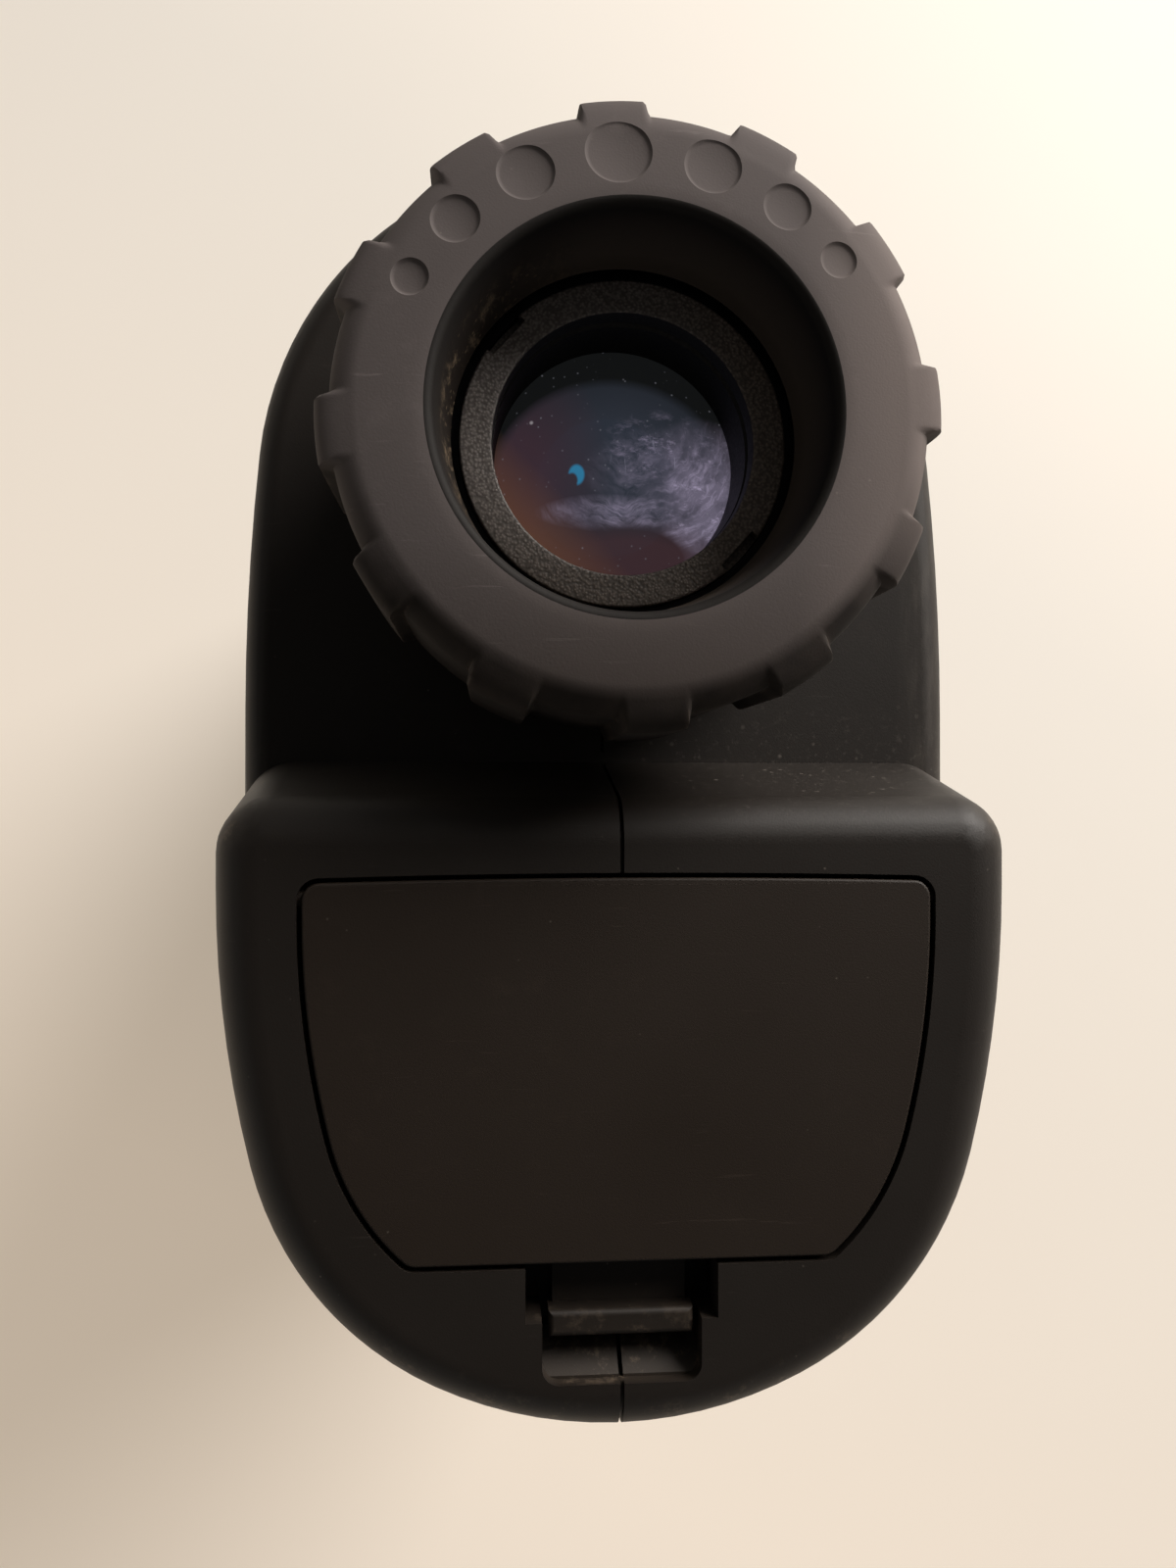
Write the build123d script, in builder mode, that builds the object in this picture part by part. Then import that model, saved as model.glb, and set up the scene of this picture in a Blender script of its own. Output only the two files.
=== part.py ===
from build123d import *

import os
from math import asin, cos, degrees, radians, sin, tan

# Handheld laser rangefinder, upright-body type with a 9 V battery, standing on its nose.
#
# Row frame, millimetres: +Z runs from the nose to the eye along the sighting axis, +Y is the top of the
# rangefinder as it is held, +X is its right-hand side seen from the eye. The origin is where the sighting
# axis meets the nose plane, so z = 0 is the surface the rangefinder stands on.

os.makedirs("parts", exist_ok=True)

# ---------------------------------------------------------------- driving dimensions
HALF_WIDTH = 21.5  # of the body across its flat flanks
BELLY_Y = -51.45  # lowest point of the belly
ARCH_RADIUS = 20.8  # round top of the body
ARCH_Y = 0.5  # centre of that arch
BEZEL_Z = 12.0  # the nose bezel ends and the housing halves begin
UPPER_Z = 88.6  # rear face of the upper body, under the eyepiece
REAR_Z = 100.0  # rear face of the lower body, with the battery door
RIM_Z = 106.6  # rim of the eye ring
WALL = 2.0  # housing wall
SEAM = 0.1  # half width of the groove on the parting line
SEAM_DEPTH = 0.4

# belly, haunch and flank arcs turn 90 degrees between them
BELLY_RADIUS, BELLY_ARC = 22.7, 26.0
FLANK_RADIUS, FLANK_ARC = 60.0, 14.0
HAUNCH_ARC = 90.0 - BELLY_ARC - FLANK_ARC
HAUNCH_RADIUS = (
    HALF_WIDTH
    - BELLY_RADIUS * sin(radians(BELLY_ARC))
    - FLANK_RADIUS * (1 - cos(radians(FLANK_ARC)))
) / (cos(radians(FLANK_ARC)) - sin(radians(BELLY_ARC)))
# above the flat flank the wall leans in until it meets the arch
LEAN_ARC = 6.0
LEAN_RADIUS = ARCH_RADIUS + (HALF_WIDTH - ARCH_RADIUS) / (1 - cos(radians(LEAN_ARC)))
LEAN_Y = ARCH_Y - (LEAN_RADIUS - ARCH_RADIUS) * sin(radians(LEAN_ARC))
TOP_Y = ARCH_Y + ARCH_RADIUS

# the step from the lower rear face forward to the upper one
SHELF_REAR_Y = -18.3
SHELF_CREASE_Y = -15.9
DRAFT = 2.3  # degrees, of the lower body towards its rear face
DRAFT_Z = 82.6  # where that draft starts
DRAFT_IN = 0.7  # how far it comes in by the rear face
SHOULDER_RADIUS = 3.0
REAR_EDGE_RADIUS = 2.6
UPPER_EDGE_RADIUS = 1.7
NOSE_EDGE_RADIUS = 2.0

# eyepiece, all round the sighting axis
RING_BASE_Z = 94.6
WELL_FLOOR_Z = 101.0
RING_RADIUS = 14.25  # rubber between the lands
LAND_HEIGHT = 0.68
LAND_COUNT = 12
LAND_ARC = 13.0
RING_BORE = 9.3
RING_TURN = 4.1  # rest position, anticlockwise seen from the eye
DOT_CIRCLE = 11.9
DOT_DEPTH = 0.35
DOTS = ((0.0, 1.56), (21.5, 1.35), (40.5, 1.14), (57.0, 0.87))  # angle from the index, radius
SLEEVE_RADIUS = 12.9
BARREL_RADIUS = 11.0
BOSS_RADIUS = 13.6
BOSS_TOP_Z = 94.2
CELL_RADIUS = 8.34
CELL_FACE_Z = 100.67
CELL_TRAVEL = 0.85
LENS_CLEAR = 6.65
LENS_LIP_Z = 95.25  # seat of the eye lens, deep inside the cell
RUN = 0.05  # radial running clearance

# battery door, in the rear face
DOOR_HALF = 16.2
DOOR_TOP_Y = -22.3
DOOR_CROWN = 0.22
DOOR_BEND_Y = -24.0
DOOR_BOTTOM_Y = -41.7
DOOR_SIDE_RADIUS, DOOR_SIDE_ARC = 46.0, 14.2
DOOR_LOWER_RADIUS = 12.6
DOOR_GAP = 0.25
DOOR_THICK = 1.8
HINGE_Y, HINGE_Z, HINGE_RADIUS = -23.1, 99.2, 0.45
HINGE_REACH = 17.8

# latch pocket below the door
POCKET_HALF = 4.95
POCKET_STEP_Y = -44.7
FINGER_HALF = 4.1
FINGER_BOTTOM_Y = -47.9
POCKET_FLOOR_Z = 96.4
TAB_HALF = 3.75
TAB_TOP_Y, TAB_BOTTOM_Y = -44.35, -45.7
TAB_Z = 99.4

# optics on the nose
CAP_BORE_DEPTH = 3.0  # the nose plate is this thick
OBJECTIVE_BORE = 11.2
EMITTER_Y, EMITTER_BORE = -15.5, 2.6
RECEIVER_Y, RECEIVER_BORE = -31.2, 11.8

# battery, an ordinary 9 V block
BATTERY_WIDTH, BATTERY_HEIGHT, BATTERY_LENGTH = 26.5, 17.5, 46.4
BATTERY_TOP_Y = -22.6
BATTERY_REAR_Z = 96.4
BATTERY_Y = BATTERY_TOP_Y - BATTERY_HEIGHT / 2
BATTERY_NOSE_Z = BATTERY_REAR_Z - BATTERY_LENGTH

# buttons
POWER_Z, POWER_LENGTH, POWER_WIDTH = 61.0, 24.0, 11.0
MODE_Y, MODE_Z, MODE_RADIUS = -8.0, 60.0, 4.3
BUTTON_GAP = 0.2
BUTTON_PROUD = 0.9

# clamshell screws, driven from the right-hand side: y, z, head seat x
SCREWS = (
    (16.4, 22.0, 10.2),
    (16.4, 80.0, 10.2),
    (-46.2, 20.0, 11.2),
    (-46.2, 56.0, 11.2),
    (-46.2, 88.0, 11.2),
)
SCREW_RADIUS = 1.2
SCREW_HEAD_RADIUS = 2.2
SCREW_TIP_X = -8.5
POST_RADIUS = 3.2

# strap pocket in the right flank
STRAP_Y, STRAP_Z = -17.4, 21.0
STRAP_HEIGHT, STRAP_LENGTH, STRAP_DEPTH = 8.6, 8.0, 4.0
STRAP_BAR_RADIUS = 0.9


# ---------------------------------------------------------------- helpers
def finish(part, name):
    """Labels a finished piece and writes it under its node name."""
    part.label = name
    export_step(part, f"parts/{name}.step")


def tube(outer, inner, low, high, y=0.0):
    """A plain ring or tube along Z, centred at height y."""
    with BuildPart() as made:
        with BuildSketch(Plane.XY.offset(low)):
            with Locations((0, y)):
                Circle(outer)
                if inner:
                    Circle(inner, mode=Mode.SUBTRACT)
        extrude(amount=high - low)
    return made.part


def lens(radius, nose_edge, eye_edge, nose_sag, eye_sag, y=0.0):
    """A round lens along Z. A positive sag bulges outwards and a negative one is hollow."""
    with BuildPart() as made:
        with BuildSketch(Plane((0, y, 0), x_dir=(1, 0, 0), z_dir=(0, -1, 0))):
            with BuildLine():
                Line((0, nose_edge - nose_sag), (0, eye_edge + eye_sag))
                if eye_sag:
                    TangentArc((0, eye_edge + eye_sag), (radius, eye_edge), tangent=(1, 0))
                else:
                    Line((0, eye_edge), (radius, eye_edge))
                Line((radius, eye_edge), (radius, nose_edge))
                if nose_sag:
                    TangentArc((0, nose_edge - nose_sag), (radius, nose_edge), tangent=(1, 0))
                else:
                    Line((radius, nose_edge), (0, nose_edge))
            make_face()
        revolve(axis=Axis((0, y, 0), (0, 0, 1)))
    return made.part


def block(size, centre):
    """A plain box by its size and centre."""
    with BuildPart() as made:
        with BuildSketch(Plane.XY.offset(centre[2] - size[2] / 2)):
            with Locations((centre[0], centre[1])):
                Rectangle(size[0], size[1])
        extrude(amount=size[2])
    return made.part


# ---------------------------------------------------------------- shared outlines
with BuildSketch() as outline:
    with BuildLine():
        belly = JernArc((0, BELLY_Y), (1, 0), BELLY_RADIUS, BELLY_ARC)
        haunch = JernArc(belly @ 1, belly % 1, HAUNCH_RADIUS, HAUNCH_ARC)
        flank = JernArc(haunch @ 1, haunch % 1, FLANK_RADIUS, FLANK_ARC)
        side = Line(flank @ 1, (HALF_WIDTH, LEAN_Y))
        lean = JernArc(side @ 1, (0, 1), LEAN_RADIUS, LEAN_ARC)
        arch = JernArc(lean @ 1, lean % 1, ARCH_RADIUS, 90 - LEAN_ARC)
        mirror(about=Plane.YZ)
    make_face()

with BuildSketch() as door_outline:
    with BuildLine():
        crown = ThreePointArc(
            (-DOOR_HALF, DOOR_TOP_Y), (0, DOOR_TOP_Y + DOOR_CROWN), (DOOR_HALF, DOOR_TOP_Y)
        )
        edge = Line((DOOR_HALF, DOOR_TOP_Y), (DOOR_HALF, DOOR_BEND_Y))
        bend = JernArc((DOOR_HALF, DOOR_BEND_Y), (0, -1), DOOR_SIDE_RADIUS, -DOOR_SIDE_ARC)
        drop = ((bend @ 1).Y - DOOR_BOTTOM_Y) / DOOR_LOWER_RADIUS
        lower_arc = degrees(asin(sin(radians(DOOR_SIDE_ARC)) + drop)) - DOOR_SIDE_ARC
        turn_in = JernArc(bend @ 1, bend % 1, DOOR_LOWER_RADIUS, -lower_arc)
        mirror(edge, about=Plane.YZ)
        mirror(bend, about=Plane.YZ)
        mirror(turn_in, about=Plane.YZ)
        foot = Line(turn_in @ 1, (-(turn_in @ 1).X, (turn_in @ 1).Y))
    make_face()
    fillet(door_outline.vertices().group_by(Axis.Y)[-1], 0.9)
    fillet(door_outline.vertices().group_by(Axis.Y)[0], 1.0)

with BuildSketch() as inner_outline:
    add(outline.sketch)
    offset(amount=-WALL, mode=Mode.REPLACE)

with BuildSketch() as pocket_outline:
    with Locations((0, DOOR_BOTTOM_Y)):
        Rectangle(
            2 * POCKET_HALF, DOOR_BOTTOM_Y - POCKET_STEP_Y, align=(Align.CENTER, Align.MAX)
        )
    with Locations((0, POCKET_STEP_Y)):
        Rectangle(
            2 * FINGER_HALF, POCKET_STEP_Y - FINGER_BOTTOM_Y, align=(Align.CENTER, Align.MAX)
        )
    fillet(pocket_outline.vertices().group_by(Axis.Y)[0], 0.9)


# ---------------------------------------------------------------- outside of the whole body
with BuildPart() as upper_body:
    with BuildSketch():
        add(outline.sketch)
    extrude(amount=UPPER_Z)
    fillet(upper_body.faces().sort_by(Axis.Z)[-1].edges(), UPPER_EDGE_RADIUS)
    fillet(upper_body.faces().sort_by(Axis.Z)[0].edges(), NOSE_EDGE_RADIUS)

with BuildPart() as lower_body:
    with BuildSketch(Plane.XY.offset(DRAFT_Z)):
        add(outline.sketch)
    extrude(amount=REAR_Z - DRAFT_Z, taper=DRAFT)
    with BuildSketch(Plane.YZ):
        with BuildLine():
            slope = (SHELF_REAR_Y - SHELF_CREASE_Y) / (REAR_Z - UPPER_Z)
            Polyline(
                (SHELF_REAR_Y - slope * (REAR_Z - DRAFT_Z), DRAFT_Z),
                (SHELF_REAR_Y, REAR_Z),
                (TOP_Y + 5, REAR_Z),
                (TOP_Y + 5, DRAFT_Z),
                close=True,
            )
        make_face()
    extrude(amount=2 * HALF_WIDTH, both=True, mode=Mode.SUBTRACT)
    shelf = lower_body.faces().filter_by(GeomType.PLANE).sort_by(Axis.Y)[-1]
    shoulders = shelf.edges().filter_by(lambda e: abs(e.center().X) > HALF_WIDTH - 1.5)
    fillet(shoulders, SHOULDER_RADIUS)
    fillet(lower_body.faces().sort_by(Axis.Z)[-1].edges(), REAR_EDGE_RADIUS)

with BuildPart() as envelope:
    add(upper_body.part)
    add(lower_body.part)


# ---------------------------------------------------------------- housing
with BuildPart() as fittings:
    # tube that holds the eyepiece, with its boss behind the upper rear face
    with BuildSketch(Plane.XY.offset(72.0)):
        Circle(14.8)
    extrude(amount=UPPER_Z - 73.0)
    # screw posts
    for y, z, seat in SCREWS:
        with BuildSketch(Plane.YZ.offset(-12.5)):
            with Locations((y, z)):
                Circle(POST_RADIUS)
        extrude(amount=25.0)
    # walls behind the latch pocket and the strap pocket
    with BuildSketch(Plane.XY.offset(POCKET_FLOOR_Z - 1.2)):
        with Locations((0, -45.5)):
            Rectangle(12.4, 7.5)
    extrude(amount=REAR_Z - POCKET_FLOOR_Z)
    with BuildSketch(Plane.YZ.offset(HALF_WIDTH - STRAP_DEPTH - 1.2)):
        with Locations((STRAP_Y, STRAP_Z)):
            Rectangle(STRAP_HEIGHT + 2.4, STRAP_LENGTH + 2.4)
    extrude(amount=STRAP_DEPTH)
    # shelves that the boards and the tray rest on
    with BuildSketch(Plane.XY.offset(40.0)):
        with GridLocations(2 * (HALF_WIDTH - 3.5), 0, 2, 1):
            with Locations((0, -21.6)):
                Rectangle(6.0, 2.2)
    extrude(amount=40.0)
    add(envelope.part, mode=Mode.INTERSECT)

with BuildPart() as housing:
    add(envelope.part)
    # inside space, upper and lower
    with BuildSketch(Plane.XY.offset(BEZEL_Z)):
        add(inner_outline.sketch)
    extrude(amount=UPPER_Z - WALL - BEZEL_Z, mode=Mode.SUBTRACT)
    with BuildSketch(Plane.XY.offset(UPPER_Z - WALL)):
        add(inner_outline.sketch)
        offset(amount=-DRAFT_IN, mode=Mode.REPLACE)
        with Locations((0, SHELF_REAR_Y - WALL)):
            Rectangle(3 * HALF_WIDTH, 60, align=(Align.CENTER, Align.MIN), mode=Mode.SUBTRACT)
    extrude(amount=REAR_Z - UPPER_Z, mode=Mode.SUBTRACT)
    add(fittings.part)
    # the eyepiece boss stands out of the upper rear face
    with BuildSketch(Plane.XY.offset(UPPER_Z - 1.0)):
        Circle(BOSS_RADIUS)
    extrude(amount=BOSS_TOP_Z - UPPER_Z + 1.0)
    with BuildSketch(Plane.XY.offset(71.0)):
        Circle(SLEEVE_RADIUS + RUN)
    extrude(amount=40.0, mode=Mode.SUBTRACT)
    # the nose belongs to the bezel
    with BuildSketch(Plane.XY):
        Rectangle(4 * HALF_WIDTH, 8 * HALF_WIDTH)
    extrude(amount=BEZEL_Z, mode=Mode.SUBTRACT)
    # door opening, relieved behind its skin along the hinge, and latch pocket
    with BuildSketch(Plane.XY.offset(REAR_Z - 2.5)):
        add(door_outline.sketch)
        offset(amount=DOOR_GAP, mode=Mode.REPLACE)
    extrude(amount=5.0, mode=Mode.SUBTRACT)
    with BuildSketch(Plane.XY.offset(POCKET_FLOOR_Z)):
        add(pocket_outline.sketch)
    extrude(amount=10.0, mode=Mode.SUBTRACT)
    with BuildSketch(Plane.YZ.offset(-HINGE_REACH)):
        with Locations((HINGE_Y, HINGE_Z)):
            Circle(HINGE_RADIUS + RUN)
    extrude(amount=2 * HINGE_REACH, mode=Mode.SUBTRACT)
    # screw holes: tapped on the left, clear on the right, with a well for each head
    for y, z, seat in SCREWS:
        with BuildSketch(Plane.YZ.offset(SCREW_TIP_X)):
            with Locations((y, z)):
                Circle(SCREW_RADIUS)
        extrude(amount=-SCREW_TIP_X, mode=Mode.SUBTRACT)
        with BuildSketch(Plane.YZ):
            with Locations((y, z)):
                Circle(SCREW_RADIUS + 0.15)
        extrude(amount=seat, mode=Mode.SUBTRACT)
        with BuildSketch(Plane.YZ.offset(seat)):
            with Locations((y, z)):
                Circle(SCREW_HEAD_RADIUS + 0.2)
        extrude(amount=20.0, mode=Mode.SUBTRACT)
    # strap pocket
    with BuildSketch(Plane.YZ.offset(HALF_WIDTH - STRAP_DEPTH)):
        with Locations((STRAP_Y, STRAP_Z)):
            RectangleRounded(STRAP_HEIGHT, STRAP_LENGTH, 1.5)
    extrude(amount=10.0, mode=Mode.SUBTRACT)
    # windows for the two buttons
    with BuildSketch(Plane.XZ.offset(-12.0)):
        with Locations((0, POWER_Z)):
            SlotOverall(
                POWER_LENGTH + 2 * BUTTON_GAP, POWER_WIDTH + 2 * BUTTON_GAP, rotation=90
            )
    extrude(amount=-20.0, mode=Mode.SUBTRACT)
    with BuildSketch(Plane.YZ.offset(-HALF_WIDTH - 2.0)):
        with Locations((MODE_Y, MODE_Z)):
            Circle(MODE_RADIUS + BUTTON_GAP)
    extrude(amount=6.0, mode=Mode.SUBTRACT)
    # groove along the parting line
    with BuildSketch(Plane.YZ) as groove:
        with BuildLine():
            Polyline(
                (BELLY_Y, BEZEL_Z),
                (BELLY_Y, DRAFT_Z),
                (BELLY_Y + DRAFT_IN, REAR_Z),
                (SHELF_REAR_Y, REAR_Z),
                (SHELF_CREASE_Y, UPPER_Z),
                (TOP_Y, UPPER_Z),
                (TOP_Y, BEZEL_Z),
                close=True,
            )
        make_face()
        fillet(groove.vertices().group_by(Axis.Z)[-1], REAR_EDGE_RADIUS)
        offset(amount=-SEAM_DEPTH, mode=Mode.REPLACE)
        offset(amount=2 * SEAM_DEPTH, kind=Kind.INTERSECTION, mode=Mode.ADD)
        offset(amount=-2 * SEAM_DEPTH, mode=Mode.SUBTRACT)
    extrude(amount=SEAM, both=True, mode=Mode.SUBTRACT)

with BuildPart() as right_housing:
    add(housing.part)
    split(bisect_by=Plane.YZ, keep=Keep.TOP)
finish(right_housing.part, "right_housing")

with BuildPart() as left_housing:
    add(housing.part)
    split(bisect_by=Plane.YZ, keep=Keep.BOTTOM)
finish(left_housing.part, "left_housing")

with BuildPart() as front_bezel:
    add(envelope.part)
    with BuildSketch(Plane.XY.offset(BEZEL_Z)):
        Rectangle(4 * HALF_WIDTH, 8 * HALF_WIDTH)
    extrude(amount=RIM_Z, mode=Mode.SUBTRACT)
    chamfer(front_bezel.faces().sort_by(Axis.Z)[-1].edges(), 0.25)
    # hollow, with a spigot that locates both halves
    with BuildSketch(Plane.XY.offset(BEZEL_Z - 3.0)):
        add(inner_outline.sketch)
        offset(amount=-0.05, mode=Mode.REPLACE)
    extrude(amount=6.0)
    with BuildSketch(Plane.XY.offset(CAP_BORE_DEPTH)):
        add(inner_outline.sketch)
        offset(amount=-1.3, mode=Mode.REPLACE)
    extrude(amount=20.0, mode=Mode.SUBTRACT)
    with BuildSketch(Plane.XY):
        Circle(OBJECTIVE_BORE)
        with Locations((0, EMITTER_Y)):
            Circle(EMITTER_BORE)
        with Locations((0, RECEIVER_Y)):
            Circle(RECEIVER_BORE)
    extrude(amount=CAP_BORE_DEPTH, mode=Mode.SUBTRACT)
finish(front_bezel.part, "front_bezel")

with BuildPart() as housing_screws:
    for y, z, seat in SCREWS:
        with BuildSketch(Plane.YZ.offset(SCREW_TIP_X + 0.3)):
            with Locations((y, z)):
                Circle(SCREW_RADIUS)
        extrude(amount=seat - SCREW_TIP_X - 0.3)
        with BuildSketch(Plane.YZ.offset(seat)):
            with Locations((y, z)):
                Circle(SCREW_HEAD_RADIUS)
        extrude(amount=1.5)
        with BuildSketch(Plane.YZ.offset(seat + 0.6)):
            with Locations((y, z)):
                Rectangle(2.4, 0.6)
                Rectangle(0.6, 2.4)
        extrude(amount=2.0, mode=Mode.SUBTRACT)
finish(housing_screws.part, "housing_screws")

with BuildPart() as strap_bar:
    with BuildSketch(Plane.XY.offset(STRAP_Z - STRAP_LENGTH / 2)):
        with Locations((HALF_WIDTH - 1.4, STRAP_Y)):
            Circle(STRAP_BAR_RADIUS)
    extrude(amount=STRAP_LENGTH)
finish(strap_bar.part, "strap_bar")


# ---------------------------------------------------------------- objective, emitter and receiver
with BuildPart() as objective_barrel:
    add(tube(12.2, 10.9, CAP_BORE_DEPTH, 26.0))
    add(tube(10.9, 9.8, 11.05, 12.2))
finish(objective_barrel.part, "objective_barrel")
finish(lens(10.85, 6.2, 8.6, 1.3, 0.9), "objective_crown_lens")
finish(lens(10.85, 8.6, 11.05, -0.9, -0.3), "objective_flint_lens")
finish(tube(10.85, 9.9, 4.4, 5.95), "objective_retaining_ring")

finish(tube(3.0, 2.4, CAP_BORE_DEPTH, 24.0, EMITTER_Y), "emitter_tube")
finish(lens(2.35, 4.6, 6.6, 0.5, 0, EMITTER_Y), "emitter_lens")
with BuildPart() as laser_diode:
    add(tube(2.8, 0, 24.0, 25.2, EMITTER_Y))
    add(tube(1.9, 0, 21.8, 24.0, EMITTER_Y))
    with BuildSketch(Plane.XY.offset(25.2)):
        with Locations((0, EMITTER_Y)):
            with PolarLocations(1.3, 3, start_angle=90):
                Circle(0.25)
    extrude(amount=2.0)
finish(laser_diode.part, "laser_diode")
finish(block((14.0, 6.0, 1.2), (0, EMITTER_Y, 27.8)), "emitter_board")

with BuildPart() as receiver_barrel:
    with BuildSketch(Plane((0, RECEIVER_Y, 0), x_dir=(1, 0, 0), z_dir=(0, -1, 0))):
        with BuildLine():
            Polyline(
                (11.4, CAP_BORE_DEPTH),
                (12.3, CAP_BORE_DEPTH),
                (12.3, 14.0),
                (5.4, 40.0),
                (4.4, 40.0),
                (10.6, 14.0),
                (10.6, 8.6),
                (11.4, 8.6),
                close=True,
            )
        make_face()
    revolve(axis=Axis((0, RECEIVER_Y, 0), (0, 0, 1)))
finish(receiver_barrel.part, "receiver_barrel")
finish(lens(11.35, 5.2, 8.6, 1.7, 0, RECEIVER_Y), "receiver_lens")
finish(tube(11.35, 10.5, 3.7, 4.9, RECEIVER_Y), "receiver_retaining_ring")
with BuildPart() as avalanche_photodiode:
    add(tube(4.6, 0, 41.4, 42.6, RECEIVER_Y))
    add(tube(4.1, 0, 38.6, 41.4, RECEIVER_Y))
finish(avalanche_photodiode.part, "avalanche_photodiode")
finish(block((20.0, 16.0, 1.2), (0, RECEIVER_Y, 43.2)), "receiver_board")


# ---------------------------------------------------------------- prisms and display
with BuildPart() as prism_holder:
    with BuildSketch(Plane.XY.offset(44.0)):
        Rectangle(21.0, 22.0)
    extrude(amount=25.0)
    with BuildSketch(Plane.YZ.offset(-8.7)):
        with Locations((0, 56.5)):
            Rectangle(19.6, 22.6)
    extrude(amount=30.0, mode=Mode.SUBTRACT)
    with BuildSketch(Plane.XY.offset(40.0)):
        Circle(6.8)
    extrude(amount=40.0, mode=Mode.SUBTRACT)
finish(prism_holder.part, "prism_holder")
finish(block((1.2, 22.0, 25.0), (11.1, 0, 56.5)), "prism_cover")
with BuildPart() as half_penta_prism:
    with BuildSketch(Plane.YZ.offset(-8.0)):
        Polygon((-9.6, 45.4), (9.6, 45.4), (9.6, 47.6), (-3.0, 55.8), (-9.6, 52.0), align=None)
    extrude(amount=16.0)
finish(half_penta_prism.part, "half_penta_prism")
with BuildPart() as roof_prism:
    with BuildSketch(Plane.YZ.offset(-8.0)):
        Polygon((9.6, 48.0), (9.6, 67.6), (-9.6, 67.6), (-9.6, 60.3), align=None)
    extrude(amount=16.0)
finish(roof_prism.part, "roof_prism")
with BuildPart() as display_frame:
    with BuildSketch(Plane.XY.offset(69.0)):
        Rectangle(19.0, 17.0)
        Rectangle(12.0, 10.0, mode=Mode.SUBTRACT)
    extrude(amount=2.8)
    with BuildSketch(Plane.XY.offset(69.8)):
        Rectangle(15.0, 13.0)
    extrude(amount=3.0, mode=Mode.SUBTRACT)
finish(display_frame.part, "display_frame")
finish(block((14.9, 12.9, 1.6), (0, 0, 70.6)), "display_glass")


# ---------------------------------------------------------------- eyepiece
with BuildPart() as eyepiece_barrel:
    add(tube(BARREL_RADIUS, CELL_RADIUS + RUN, 72.0, 100.2))
    add(tube(SLEEVE_RADIUS, BARREL_RADIUS, 72.0, 77.5))
finish(eyepiece_barrel.part, "eyepiece_barrel")
finish(tube(CELL_RADIUS, 5.6, 76.0, 77.2), "field_stop")
finish(tube(SLEEVE_RADIUS, BARREL_RADIUS + RUN, 78.5, WELL_FLOOR_Z), "diopter_sleeve")

with BuildPart() as eyepiece_cell:
    add(tube(CELL_RADIUS, 7.3, 83.0, CELL_FACE_Z))
    add(tube(7.3, LENS_CLEAR, LENS_LIP_Z, CELL_FACE_Z))
    # two slots for the assembly key
    with BuildSketch(Plane.XY.offset(CELL_FACE_Z - 0.8)):
        with PolarLocations(CELL_RADIUS - 0.3, 2, start_angle=-42):
            Rectangle(0.8, 2.6)
    extrude(amount=2.0, mode=Mode.SUBTRACT)
finish(eyepiece_cell.part, "eyepiece_cell")
finish(lens(7.25, 91.2, LENS_LIP_Z - 0.4, 0.6, 1.6), "eye_lens")
finish(tube(7.25, 6.5, 89.7, 91.05), "lens_spacer")
finish(lens(7.25, 86.0, 89.5, 0.6, 0.8), "field_lens")
finish(tube(7.25, 6.3, 83.8, 85.8), "cell_retaining_ring")

with BuildPart() as ring_land_band:
    with BuildSketch(Plane.XZ):
        with BuildLine():
            Polyline(
                (13.8, RIM_Z - 0.4),
                (13.8, RING_BASE_Z + 0.4),
                (RING_RADIUS + LAND_HEIGHT - 0.3, RING_BASE_Z + 0.4),
                (RING_RADIUS + LAND_HEIGHT, RING_BASE_Z + 0.8),
                (RING_RADIUS + LAND_HEIGHT, 104.7),
            )
            ThreePointArc((RING_RADIUS + LAND_HEIGHT, 104.7), (14.5, 105.75), (13.8, RIM_Z - 0.4))
        make_face()
    revolve(axis=Axis.Z)
    with BuildSketch(Plane.XY.offset(RING_BASE_Z)):
        Circle(20.0)
        with PolarLocations(0, LAND_COUNT, start_angle=RING_TURN + 15.0):
            Polygon(
                (0, 0),
                (30, 30 * tan(radians(15 - LAND_ARC / 2))),
                (30, -30 * tan(radians(15 - LAND_ARC / 2))),
                align=None,
                mode=Mode.SUBTRACT,
            )
    extrude(amount=14.0, mode=Mode.INTERSECT)

with BuildPart() as eye_ring:
    with BuildSketch(Plane.XZ):
        with BuildLine():
            Polyline(
                (13.2, RIM_Z),
                (RING_BORE + 0.5, RIM_Z),
                (RING_BORE, RIM_Z - 0.5),
                (8.75, WELL_FLOOR_Z),
                (SLEEVE_RADIUS, WELL_FLOOR_Z),
                (SLEEVE_RADIUS, RING_BASE_Z),
                (RING_RADIUS - 0.3, RING_BASE_Z),
                (RING_RADIUS, RING_BASE_Z + 0.3),
                (RING_RADIUS, 104.9),
            )
            ThreePointArc((RING_RADIUS, 104.9), (13.92, 106.05), (13.2, RIM_Z))
        make_face()
    revolve(axis=Axis.Z)
    add(ring_land_band.part)
    # dots round the index, smaller away from it
    for turn, radius in DOTS:
        for side in (-1, 1):
            angle = radians(90 + RING_TURN + side * turn)
            with BuildSketch(Plane.XY.offset(RIM_Z - DOT_DEPTH)):
                with Locations((DOT_CIRCLE * cos(angle), DOT_CIRCLE * sin(angle))):
                    Circle(radius)
            extrude(amount=1.0, mode=Mode.SUBTRACT)
finish(eye_ring.part, "eye_ring")


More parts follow.
